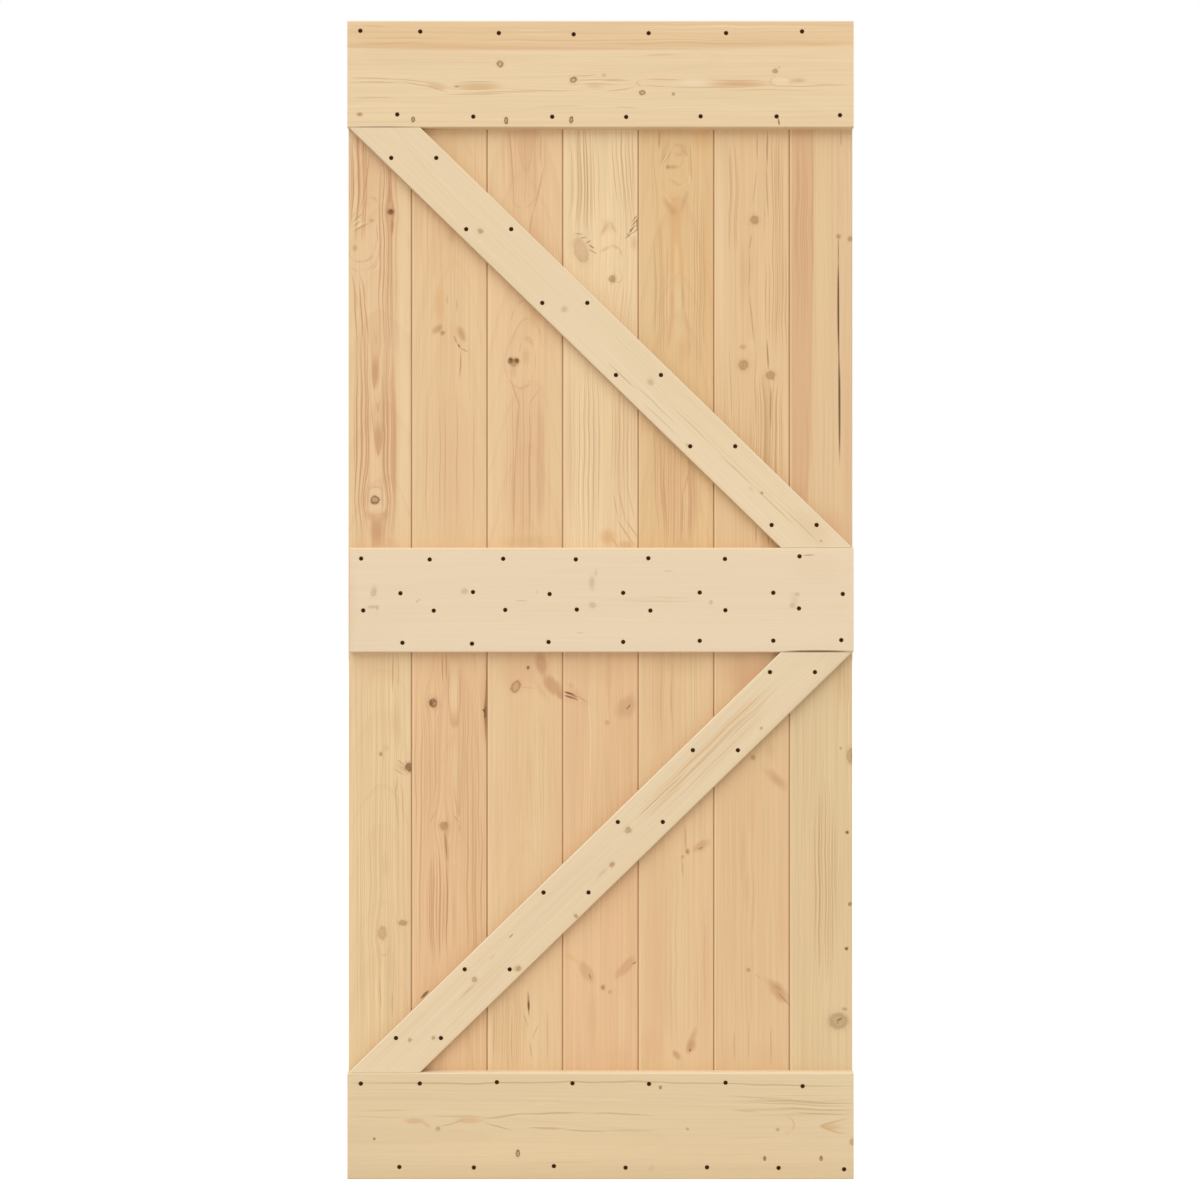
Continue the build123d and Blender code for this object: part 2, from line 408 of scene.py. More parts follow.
# Place on the grain in units of a feature's half sizes, from its middle
def offsetFrom(grain, px, py, across, along, turn=0, source="place"):
    at = placeOnLeaf(px, py, grain["face"]) - grain["start"]
    aside, ahead = at.dot(grain["acrossWay"]), at.dot(grain["alongWay"])
    wide, tall = 1 / (across * pixel), 1 / (along * pixel)
    if not turn:
        shift = (-aside * wide, -ahead * tall, 0.0)
        return vectors("MULTIPLY_ADD", grain[source], (wide, tall, 0.0), shift)
    cosine, sine = math.cos(math.radians(turn)), math.sin(math.radians(turn))
    node = newNode("ShaderNodeCombineXYZ", grain[source])
    for index, (x, y, size) in enumerate(((cosine, sine, wide), (-sine, cosine, tall))):
        reach = vectors("DOT_PRODUCT", grain[source], (x * size, y * size, 0.0))
        feed(node.inputs[index], minus(reach, (aside * x + ahead * y) * size))
    return node.outputs[0]


def radiusFrom(grain, *feature, source="place"):
    return vectors("LENGTH", offsetFrom(grain, *feature, source=source))


# Grain coordinates across, along and into the wood; lines waver a little, and swing round knots and swirls
def layGrain(spot, node, kind, look):
    start, acrossWay, alongWay = grainOf(kind, node)
    fromStart = vectors("SUBTRACT", spot, tuple(start))
    place = newNode("ShaderNodeCombineXYZ", spot)
    feed(place.inputs[0], vectors("DOT_PRODUCT", fromStart, tuple(acrossWay)))
    feed(place.inputs[1], vectors("DOT_PRODUCT", fromStart, tuple(alongWay)))
    feed(place.inputs[2], parts(spot)[1])
    place = place.outputs[0]
    grain = {"place": place, "start": start, "acrossWay": acrossWay, "alongWay": alongWay}
    grain["face"] = 0.0 if kind == "plank" else ledgeFace
    grain["waver"] = parts(grainNoise(place, *paintForm["waver"], "Color"))
    aside = minus(grain["waver"][0], noiseMean)
    shift = newNode("ShaderNodeCombineXYZ", aside)
    feed(shift.inputs[0], times(aside, paintForm["waverPixels"] * pixel))
    flow = vectors("ADD", place, shift.outputs[0])
    swingAcross, swingAlong = paintForm["knotSwing"]
    swirls = []
    for row in look["knots"]:
        px, py, across, along, sort, push = filled(row, 6)[:6]
        if push:
            swirls.append((px, py, across * swingAcross, along * swingAlong, push))
    for px, py, across, along, push in swirls + look.get("swirls", []):
        offset = offsetFrom(grain, px, py, across, along)
        push = (push * across * pixel, 0.0, 0.0)
        flow = useGroup(knotPush, flow=flow, offset=offset, push=push)["flow"]
    grain["flow"] = flow
    return grain


def paintStains(grain, colour, rows, streak):
    rough = times(minus(streak, noiseMean), paintForm["stainRough"])
    for row in rows:
        px, py, across, along, tint, share, turn, inner = filled(row, 8)
        radius = plus(radiusFrom(grain, px, py, across, along, turn), rough)
        edge = paintForm["stainEdge"] - paintForm["coreEdge"] * inner
        colour = blend(ramp(radius, edge, inner, 0.0, share), colour, tints[tint])
    return colour


def paintCombs(grain, colour, rows):
    teeth = ramp(grainNoise(grain["flow"], *paintForm["teeth"]), *paintForm["toothSpan"])
    for px, py, across, along, tint, share in rows:
        radius = radiusFrom(grain, px, py, across, along)
        mask = times(ramp(radius, *paintForm["combEdge"], 0.0, share), teeth)
        colour = blend(mask, colour, tints[tint])
    return colour


def paintLines(grain, colour, rowsOfTint):
    for tint, rows in rowsOfTint.items():
        for row in rows:
            places, py, width, along, share, turn = filled(row, 6)
            for px in places if isinstance(places, tuple) else (places,):
                radius = radiusFrom(grain, px, py, width, along, turn, source="flow")
                mask = ramp(radius, *paintForm["lineEdge"], 0.0, share)
                colour = blend(mask, colour, tints[tint])
    return colour


def paintHoops(grain, colour, rows):
    breaks = grainNoise(grain["place"], *paintForm["breaks"])
    broken = ramp(breaks, *paintForm["breakSpan"], paintForm["faintestHoop"], 1.0)
    waver = times(grain["waver"][1], paintForm["hoopWaver"])
    for row in rows:
        px, py, across, along, tint, share, width, side, turn = filled(row, 9)
        offset = offsetFrom(grain, px, py, across, along, turn)
        radius = plus(vectors("LENGTH", offset), waver)
        off = maths("ABSOLUTE", minus(radius, paintForm["hoopRadius"]))
        reach = width / across
        mask = times(ramp(off, reach, paintForm["hoopCore"] * reach, 0.0, share), broken)
        if side:
            start, end = [edge * side for edge in paintForm["hoopHalf"]]
            mask = times(mask, ramp(parts(offset)[1], start, end))
        colour = blend(mask, colour, tints[tint])
    return colour


def paintArches(grain, colour, rows):
    for px, py, across, along, count, power, tint, lineShare, fillShare in rows:
        offset = offsetFrom(grain, px, py, across, along, source="flow")
        colour = useGroup(
            archPaint, colour=colour, offset=offset, count=count, power=power, tint=tints[tint],
            lineShare=lineShare, fillShare=fillShare,
        )["colour"]
    return colour


def paintKnots(grain, colour, rows):
    wobble = minus(grainNoise(grain["place"], *paintForm["wobble"]), noiseMean)
    for row in rows:
        px, py, across, along, sort, push, turn = filled(row, 7)
        body, bark, shares = knotKinds[sort]
        uneven = times(wobble, min(1.0, paintForm["wobblePixels"] / max(across, along)))
        colour = useGroup(
            knotPaint, colour=colour, radius=radiusFrom(grain, px, py, across, along, turn),
            wobble=uneven, body=body, bark=bark,
            bodyShare=shares[0], barkShare=shares[1], pithShare=shares[2], haloShare=shares[3],
        )["colour"]
    return colour


def paintCracks(grain, colour, rows):
    for row in rows:
        px, py, across, along, tint, share, turn = filled(row, 7)
        radius = radiusFrom(grain, px, py, across, along, turn)
        colour = blend(ramp(radius, *paintForm["crackEdge"], 0.0, share), colour, tints[tint])
    return colour


# Ledges and braces: a painted highlight on the eased edge above, painted shade on the eased edge below, and
# greyer sawn sides on a brace, m
edgeShade = {
    "paintedHighlight": (0.0028, 0.0014), "paintedHighlightShare": 0.75, "paintedHighlightDepth": (0.0024, 0.001),
    "paintedFootShade": (0.0022, 0.0006), "paintedFootShadeShare": 0.3,
    "sawnDepth": (0.0012, 0.003), "sawnShare": 0.6,
}


def shadeEdges(grain, colour, node, kind, depth):
    low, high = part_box(node)
    height = high.z - low.z if kind == "ledge" else braceEnd(node) * grain["alongWay"].z
    reach = height / 2
    climb = times(parts(grain["place"])[0], -1.0 if kind == "risingBrace" else 1.0)
    # Painted highlight: a cream band along the upper edge, kept to the front of a brace
    start, end = [reach - inset for inset in edgeShade["paintedHighlight"]]
    paintedHighlight = ramp(climb, start, end, 0.0, edgeShade["paintedHighlightShare"])
    if kind != "ledge":
        start, end = [ledgeFace + deep for deep in edgeShade["sawnDepth"]]
        sawn = ramp(depth, start, end, 0.0, edgeShade["sawnShare"])
        colour = blend(sawn, colour, tints["grey"])
        start, end = [ledgeFace + deep for deep in edgeShade["paintedHighlightDepth"]]
        paintedHighlight = times(paintedHighlight, ramp(depth, start, end))
    colour = blend(paintedHighlight, colour, tints["cream"])
    # Painted shade: a brown band along the lower edge
    start, end = [inset - reach for inset in edgeShade["paintedFootShade"]]
    return blend(ramp(climb, start, end, 0.0, edgeShade["paintedFootShadeShare"]), colour, tints["brown"])


# Joints between planks: painted shade on the bevels, and a painted highlight strip on the side that faces
# the lamp, m
jointShade = {
    "highlightStrip": (0.0035, 0.0005), "highlightStripShare": 0.55,
    "leftBevel": (0.0, -0.001), "rightBevel": (-0.0009, 0.0006), "bevelShadeShare": 0.6,
}


def shadeJoints(grain, colour, left, right):
    aside = parts(grain["place"])[0]
    shades = []
    # A painted highlight strip beside the left joint, and painted shade on the bevels of both joints
    if left is not None:
        shades.append((left, jointShade["highlightStrip"], jointShade["highlightStripShare"], "pale"))
        shades.append((left, jointShade["leftBevel"], jointShade["bevelShadeShare"], "rust"))
    if right is not None:
        shades.append((right, jointShade["rightBevel"], jointShade["bevelShadeShare"], "rust"))
    for joint, span, share, tint in shades:
        start, end = [joint - grain["start"].x + inset for inset in span]
        colour = blend(ramp(aside, start, end, 0.0, share), colour, tints[tint])
    return colour


# A plank's ground changes behind the middle ledge; on its back only plain pine, knots and cracks go on
plankChange = {"height": (0.97, 1.09), "depth": (0.004, 0.01), "backShare": 0.5}
woodSurface = {
    "roughSpan": (0.3, 0.7), "roughness": (0.72, 0.6), "specular": 0.25,
    "bumpGrain": ((700.0, 14.0, 700.0), 2.0), "bumpStrength": 0.25, "bumpDistance": 0.0004,
}
seedSteps = (3.1, 7.3, 1.9)  # how far apart the timbers are in the noises


def timberMaterial(node, kind, look, joints=(None, None)):
    material, tree, shader = newMaterial(look["finish"])
    spot = tree.nodes.new("ShaderNodeTexCoord").outputs["Object"]
    depth, height = parts(spot)[1:]
    grain = layGrain(spot, node, kind, look)
    within = ramp(depth, *plankChange["depth"])
    ground, line, lineShare = tone(*look["ground"]), tone(*look["line"]), look["lineShare"]
    if "lowerGround" in look:
        upper = ramp(height, *plankChange["height"])
        upper = ramp(within, 0.0, 1.0, upper, plankChange["backShare"], False)
        ground = blend(upper, tone(*look["lowerGround"]), ground)
        line = blend(upper, tone(*look["lowerLine"]), line)
        lineShare = ramp(upper, 0.0, 1.0, look["lowerLineShare"], look["lineShare"], False)
    seed = [look["seed"] * step for step in seedSteps]
    wood = useGroup(
        pine, place=grain["place"], flow=grain["flow"], seed=seed, pith=look["pith"],
        ringWidth=look["ringWidth"], wander=look["wander"], ground=ground, line=line, lineShare=lineShare,
        heart=tone(*look["heart"]), heartShare=look["heartShare"], streakShare=look["streakShare"],
    )
    colour = paintStains(grain, wood["colour"], look.get("stains", []), wood["streak"])
    colour = paintCombs(grain, colour, look.get("combs", []))
    colour = paintLines(grain, colour, look.get("lines", {}))
    colour = paintHoops(grain, colour, look.get("hoops", []))
    colour = paintArches(grain, colour, look.get("arches", []))
    if kind == "plank":
        colour = blend(within, colour, wood["colour"])
    colour = paintKnots(grain, colour, look["knots"])
    colour = paintCracks(grain, colour, look.get("cracks", []))
    if kind != "plank":
        colour = shadeEdges(grain, colour, node, kind, depth)
    feed(shader.inputs["Base Color"], shadeJoints(grain, colour, *joints))
    rough = ramp(wood["streak"], *woodSurface["roughSpan"], *woodSurface["roughness"], False)
    feed(shader.inputs["Roughness"], rough)
    shader.inputs["Specular IOR Level"].default_value = woodSurface["specular"]
    height = grainNoise(grain["place"], *woodSurface["bumpGrain"])
    bumpFrom(shader, height, woodSurface["bumpStrength"], woodSurface["bumpDistance"])
    return material


sideGap = 0.001  # a plank nearer than this to the leaf's side has no joint there, m


# Planks keep their CAD solids
def dressPlank(node, look):
    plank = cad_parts[node]
    low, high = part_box(node)
    face = [v.co.x for v in plank.data.vertices if abs(v.co.y) < levelGap]
    left = min(face) if low.x > cadLow.x + sideGap else None
    right = max(face) if high.x < cadHigh.x - sideGap else None
    plank.data.materials.clear()
    plank.data.materials.append(timberMaterial(node, "plank", look, (left, right)))
    print("plank dressed:", node)


# Features are in picture pixels: x, y, half size across the grain, half size along it, then
# knots: kind, push on the grain, turn; swirls: push; stains: tint, share, turn, solid core;
# combs: tint, share; lines, listed by tint, some with several x: share, turn; cracks: tint, share, turn;
# hoops: tint, share, line width, the half that shows (1 upper or right, -1 the other, 0 both), turn;
# arches, from the tip with half width and length: count, power, tint, line share, fill share
edgeBoardLeft = {
    "finish": "left edge plank pine", "seed": 1, "ground": (230, 195, 151), "line": (210, 164, 122),
    "lineShare": 0.3, "lowerGround": (229, 200, 155), "lowerLine": (216, 180, 134), "lowerLineShare": 0.3,
    "heart": (218, 176, 132), "heartShare": 0.3, "streakShare": 0.1, "pith": (-0.004, 0.16, 0.075),
    "ringWidth": 0.0085, "wander": 0.012,
    "swirls": [(366, 243, 14, 34, 0.35), (378, 501, 15, 26, 0.35)],
    "knots": [
        (356, 248, 2, 2.4, "warm", 0.5), (391.6, 212, 2.8, 2.6, "dark", 0.8),
        (376.6, 500, 4.2, 4.2, "ring", 0.5), (382.5, 754, 1.6, 1.8, "soft", 0.5),
        (411, 767, 4, 4, "dark", 0.9), (404, 923, 4, 2.4, "soft", 0.6), (383.5, 933, 4, 6.5, "warm", 0.8),
    ],
    "stains": [
        (353, 335, 4, 250, "yellow", 0.5, 0, 0.2), (405, 330, 7, 280, "pale", 0.5, 0, 0.3),
        (377, 372, 4.5, 17, "rust", 0.7, 0, 0.2), (380, 438, 5, 18, "rust", 0.65, 0, 0.2),
        (378, 501, 11, 13, "pale", 0.5, 0, 0.4), (378.5, 530, 8, 20, "rust", 0.65, 0, 0.25),
        (393, 225, 2, 13, "rust", 0.6), (372, 175, 14, 50, "pink", 0.4), (397, 722, 6, 24, "tan", 0.4),
        # The last stain here, a darker band across the whole plank just below the middle ledge, is painted
        # shade
        (387, 865, 6, 14, "tan", 0.35), (388, 748, 4, 4, "tan", 0.5), (380, 668, 30, 16, "pink", 0.35),
        (404, 768, 5, 8, "tan", 0.6, 55), (371, 516, 4, 7, "rust", 0.4, 30),
        (386, 516, 4, 7, "rust", 0.4, -30), (372.8, 220.6, 3.4, 2.4, "rust", 0.5, 0, 0.2),
        (365, 390, 9, 160, "pink", 0.2), (390, 390, 8, 160, "pink", 0.2),
    ],
    "combs": [
        (360, 185, 12, 60, "redLine", 0.76), (388, 250, 9, 130, "redLine", 0.76),
        (364, 430, 9, 120, "redLine", 0.85), (390, 440, 9, 120, "redLine", 0.76),
        (380, 850, 34, 220, "tan", 0.49),
    ],
    "lines": {
        "rust": [
            (354, 185, 0.77, 48, 0.72), (359, 180, 0.77, 48, 0.72), (365.5, 182, 0.77, 34, 0.66, -9),
            (357, 315, 0.85, 34, 0.66, 4), (362.5, 313, 0.85, 34, 0.79, 5), (366.5, 312, 0.85, 34, 0.66, 7),
            (380, 250, 0.77, 110, 0.66), (384.5, 245, 0.85, 120, 0.79), (389, 245, 0.77, 120, 0.66),
            (392.5, 255, 0.77, 100, 0.66), (358.5, 440, 0.85, 110, 0.72), (363, 430, 0.85, 110, 0.66),
            (367.5, 430, 0.85, 100, 0.66), (385, 450, 0.85, 100, 0.79), (389, 450, 0.85, 100, 0.72),
            (393, 450, 0.77, 100, 0.66), (394.5, 672, 0.94, 22, 0.6), (363.3, 227.3, 1.1, 8.5, 0.6, -55),
            (390.3, 193, 1.2, 15, 0.65), (393.2, 227, 1.1, 7.5, 0.95),
        ],
        "redLine": [
            (363, 178, 0.77, 42, 0.7), (397, 245, 0.77, 110, 0.54), (396, 440, 0.68, 100, 0.62),
            (400, 672, 0.77, 20, 0.5), (356, 290, 0.85, 22, 0.6, 8), (364, 288, 0.85, 18, 0.5, 14),
            (376.8, 233, 1, 11, 0.6), (379.2, 250, 0.9, 12, 0.5, -6), (374.5, 266, 0.9, 6, 0.5, -32),
        ],
        "brownLine": [
            (381.5, 992, 0.77, 20, 0.6), (393, 1004, 0.77, 14, 0.6), (398, 805, 0.77, 28, 0.5, 3),
            (404, 803, 0.77, 26, 0.45, 3), (405, 762, 0.9, 6, 0.7, 60), (403, 772, 0.9, 8, 0.6, 62),
            (399, 786, 0.9, 12, 0.5, -12), (358.3, 219.5, 0.8, 5, 0.65, -38), (361, 217, 0.8, 6, 0.6, -32),
            (359.5, 223.8, 0.8, 5, 0.6, -48), (355.5, 216, 0.8, 5, 0.5, -24),
        ],
        "cream": [(362.3, 225, 0.9, 6, 0.5, -52), (359, 221.6, 0.8, 5, 0.45, -42)],
    },
    "hoops": [
        (378, 501, 12, 14.5, "redLine", 0.45, 1.2), (386, 945, 5, 10, "brownLine", 0.3, 1, -1),
        (372.8, 219, 9, 23, "redLine", 0.6, 1.2, 1), (362, 241, 15, 21.5, "redLine", 0.5, 1.2, -1),
        (362, 246, 18, 26, "redLine", 0.3, 1.1, -1),
    ],
    "arches": [
        (377, 389, 6.5, 75, 1.6, 1.5, "redLine", 0.88, 0.35),
        (379.5, 455, 9.5, 76, 1.7, 1.5, "redLine", 0.88, 0.2),
    ],
    "cracks": [(391.8, 211.4, 1.6, 1.9, "dark", 0.75), (389.5, 209.5, 0.8, 1.5, "brown", 0.6, 30)],
}
dressPlank("edge_board_left", edgeBoardLeft)
board2 = {
    "finish": "second plank pine", "seed": 2, "ground": (229, 194, 148), "line": (218, 178, 132),
    "lineShare": 0.3, "lowerGround": (227, 188, 143), "lowerLine": (210, 164, 122), "lowerLineShare": 0.3,
    "heart": (219, 180, 132), "heartShare": 0.3, "streakShare": 0.08, "pith": (0.006, 0.1, 0.05),
    "ringWidth": 0.006, "wander": 0.012,
    "swirls": [(450, 335, 30, 40, 0.12)],
    "knots": [
        (443.5, 333, 2, 2, "soft"), (445, 826, 4, 4, "soft", 0.9), (487, 711.5, 1.7, 5, "dark", 0.7),
        (434.4, 703, 3.6, 4, "dark", 0.9),
    ],
    "stains": [
        (440, 305, 6, 22, "orange", 0.55), (452, 238, 4, 9, "red", 0.5),
        # The last stain here, a darker band across the whole plank just below the middle ledge, is painted
        # shade
        (422, 470, 8, 80, "yellow", 0.35, 0, 0.1), (449, 668, 30, 18, "pink", 0.45),
        (455, 690, 5, 34, "pale", 0.5, 0, 0.1), (456, 770, 4, 30, "pale", 0.4, 0, 0.1),
        (455, 915, 3, 38, "red", 0.65), (430, 860, 7, 130, "pink", 0.4), (484, 704, 4, 48, "red", 0.6),
        (475, 860, 9, 110, "tan", 0.3), (447, 846, 2.5, 20, "rust", 0.5, 4),
        (455, 470, 20, 75, "pink", 0.35, 0, 0.1), (464.5, 338.5, 2, 4, "rust", 0.45, 20),
        (459.5, 780, 2.2, 34, "tan", 0.6), (444, 825, 2, 3.4, "brown", 0.4, 12),
        (462.6, 333.6, 5.2, 10, "rust", 0.45, 24, 0.45), (462, 333, 1.8, 5.5, "rust", 0.5, 30),
        (455.8, 721, 4.6, 4, "tan", 0.35, 0, 0.2), (437.8, 329.3, 4.2, 7, "rust", 0.5, -48, 0.35),
        (440, 328.4, 1.8, 4.6, "rust", 0.45, -44),
    ],
    "combs": [
        (450, 470, 34, 80, "pink", 0.77), (440, 230, 26, 50, "pink", 0.58),
        (437, 905, 10, 60, "redLine", 0.95), (474, 880, 10, 90, "redLine", 0.77),
        (450, 470, 34, 80, "pale", 0.35), (450, 765, 34, 105, "redLine", 0.4),
    ],
    "lines": {
        "redLine": [
            ((428, 446, 475), 462, 0.77, 80, 0.54), ((441, 458), 462, 0.77, 80, 0.6),
            (422, 830, 1.02, 165, 0.69, -0.7), (436, 762, 0.85, 42, 0.69), (434, 905, 0.77, 46, 0.85),
            ((437.5, 440.5), 905, 0.77, 46, 0.77), ((469, 476, 482), 880, 0.77, 90, 0.62),
            (455.5, 818.5, 0.9, 5.5, 0.88, 48), (459.5, 828, 0.9, 6, 0.77, -8),
            (436, 818, 0.9, 9, 0.66, -30), ((417, 426, 431, 440, 464, 468.5, 473, 479), 770, 0.8, 100, 0.5),
            ((449.8, 461.6), 690, 0.9, 26, 0.7),
        ],
        "rust": [
            (461, 365, 0.77, 15, 0.92), (443, 668, 0.77, 17, 0.92), (447, 667, 0.77, 16, 0.92),
            (447.5, 905, 0.94, 58, 0.92),
        ],
        "brown": [(487, 702, 1.02, 50, 0.95)],
        "olive": [(448.6, 300, 1, 6, 0.5), (457.9, 305, 0.9, 6.5, 0.5)],
    },
    "hoops": [(434.5, 703, 8, 9, "redLine", 0.26, 1)],
    "arches": [
        (455.8, 726, 8, 85, 1.2, 5, "redLine", 0.6, 0), (459, 815, 5, 80, 1.2, 4, "redLine", 0.55, 0),
    ],
    "cracks": [
        (447, 846, 0.9, 15, "brown", 0.7, 4), (425.5, 994.5, 1.6, 6.5, "dark", 0.8, -45),
        (456.4, 339.5, 1, 5, "brown", 0.5, 22), (459.9, 345.8, 1.1, 2.6, "dark", 0.65, 32),
        (465, 350, 1.3, 4.6, "brown", 0.35, 62), (432, 703, 1.4, 3.4, "dark", 0.6, 4),
        (436.4, 705.6, 1, 2.6, "brown", 0.6, -40), (434.4, 699.6, 0.9, 2.6, "brown", 0.55, 88),
        (485, 711, 1.2, 2.2, "dark", 0.85, 40), (486, 715.5, 0.9, 3, "dark", 0.7, -8),
        (485.8, 707, 0.8, 2.4, "brown", 0.75, -14), (447, 823.5, 1, 2.4, "brown", 0.5, -50),
        (484.2, 709.5, 0.7, 1.6, "dark", 0.6, -50), (435.9, 703.4, 1.3, 1.5, "tan", 0.5),
    ],
}
dressPlank("board_2", board2)
board3 = {
    "finish": "third plank pine", "seed": 3, "ground": (232, 197, 152), "line": (212, 166, 122),
    "lineShare": 0.3, "lowerGround": (228, 194, 149), "lowerLine": (218, 180, 134), "lowerLineShare": 0.25,
    "heart": (220, 178, 132), "heartShare": 0.3, "streakShare": 0.07, "pith": (-0.003, 0.14, 0.06),
    "ringWidth": 0.007, "wander": 0.012,
    "swirls": [(521, 360, 20, 34, 0.3)],
    "knots": [
        (511.6, 361, 2.6, 2.8, "dark"), (517, 361, 2.4, 2.6, "dark"), (514.5, 364, 2.6, 2.6, "soft"),
        (528.6, 667.6, 1.3, 1.5, "dark", 0.6), (516.3, 686.6, 4.2, 6.2, "oval", 0.5, -28),
    ],
    "stains": [
        (527, 160, 15, 48, "pink", 0.51, 0, 0.1), (497, 165, 8, 45, "yellow", 0.38, 0, 0.1),
        (536, 240, 8, 26, "pink", 0.42), (536, 312, 7, 16, "orange", 0.42), (514, 371, 4, 8, "red", 0.51),
        (526, 357, 4.5, 9, "tan", 0.59, 0, 0.1), (523, 470, 8, 95, "pink", 0.43, 0, 0.2),
        (539, 450, 8, 80, "pink", 0.36, 0, 0.1), (500, 440, 7, 90, "yellow", 0.32, 0, 0.1),
        (553, 440, 8, 120, "yellow", 0.32, 0, 0.1), (511, 490, 4, 60, "pink", 0.36),
        # The first stain here, a darker band across the whole plank just below the middle ledge, is painted
        # shade
        (525, 668, 36, 24, "pink", 0.6, 0, 0.1), (541, 690, 4, 14, "tan", 0.6, 35),
        (535, 770, 20, 60, "yellow", 0.29, 0, 0.1), (529, 770, 4, 32, "pink", 0.5),
        (557, 810, 5, 60, "pink", 0.43, 0, 0.1), (498, 810, 8, 80, "pink", 0.32, 0, 0.1),
        (532, 1035, 12, 40, "yellow", 0.29, 0, 0.1), (502, 1035, 10, 30, "tan", 0.32, 0, 0.1),
        (541, 663, 7.5, 15, "rust", 0.62, 12, 0.5), (553, 686, 8, 15, "rust", 0.62, 40, 0.5),
        # The last stain here, a tan band across the plank just above the middle ledge, is painted shade
        (561, 696, 4, 5, "rust", 0.5, 40, 0.2), (528, 541, 28, 7, "tan", 0.5),
    ],
    "combs": [
        (526, 460, 26, 80, "redLine", 0.38), (535, 770, 24, 60, "tan", 0.6),
        (510, 1030, 18, 44, "tan", 0.75), (525, 160, 26, 50, "redLine", 0.3),
    ],
    "lines": {
        "redLine": [
            (511.5, 168, 1.1, 46, 0.69, 2), (541.5, 150, 0.9, 18, 0.57), (539, 190, 1.1, 27, 0.69, -14),
            (531.5, 224, 1.1, 14, 0.57, -6),
        ],
        "brownLine": [
            (516.5, 393, 1.1, 16, 0.55, 14), (518, 425, 1.2, 34, 0.55, -4), (515, 495, 1.2, 58, 0.6, -1),
            (530, 475, 1.3, 78, 0.6), (534.5, 396, 1.1, 11, 0.32, -36), (494.5, 1035, 0.9, 34, 0.57),
            (512, 1040, 0.9, 34, 0.57), (547, 1035, 0.9, 34, 0.52),
        ],
        "tan": [(549.5, 500, 0.9, 46, 0.46), (526, 687.5, 0.8, 12, 0.8, 85)],
        "olive": [
            (526, 1020, 0.8, 8, 0.69, 20), (536, 1032, 0.8, 9, 0.57, -20), (531, 1050, 0.8, 9, 0.69, 5),
        ],
    },
    "hoops": [
        (524, 196, 12, 12, "redLine", 0.34, 1.2, -1), (527, 346, 14, 28, "redLine", 0.41, 1.2, 1),
        (527, 353, 7, 15, "redLine", 0.45, 1.1, 1), (520, 363, 15.5, 25, "redLine", 0.38, 1.1),
        (527, 338, 20, 40, "redLine", 0.3, 1.2, 1),
    ],
    "arches": [(526, 172, 11, 56, 1.2, 2.2, "redLine", 0.35, 0.2)],
    "cracks": [
        (511.5, 359.5, 1.6, 2.6, "dark", 0.8, 20), (517.5, 360.5, 1.6, 2.4, "dark", 0.8, -30),
        (528.8, 1003.6, 1.3, 14, "brown", 0.75, 2), (528.9, 1005.5, 1.3, 5.5, "dark", 0.85, 2),
    ],
}
dressPlank("board_3", board3)
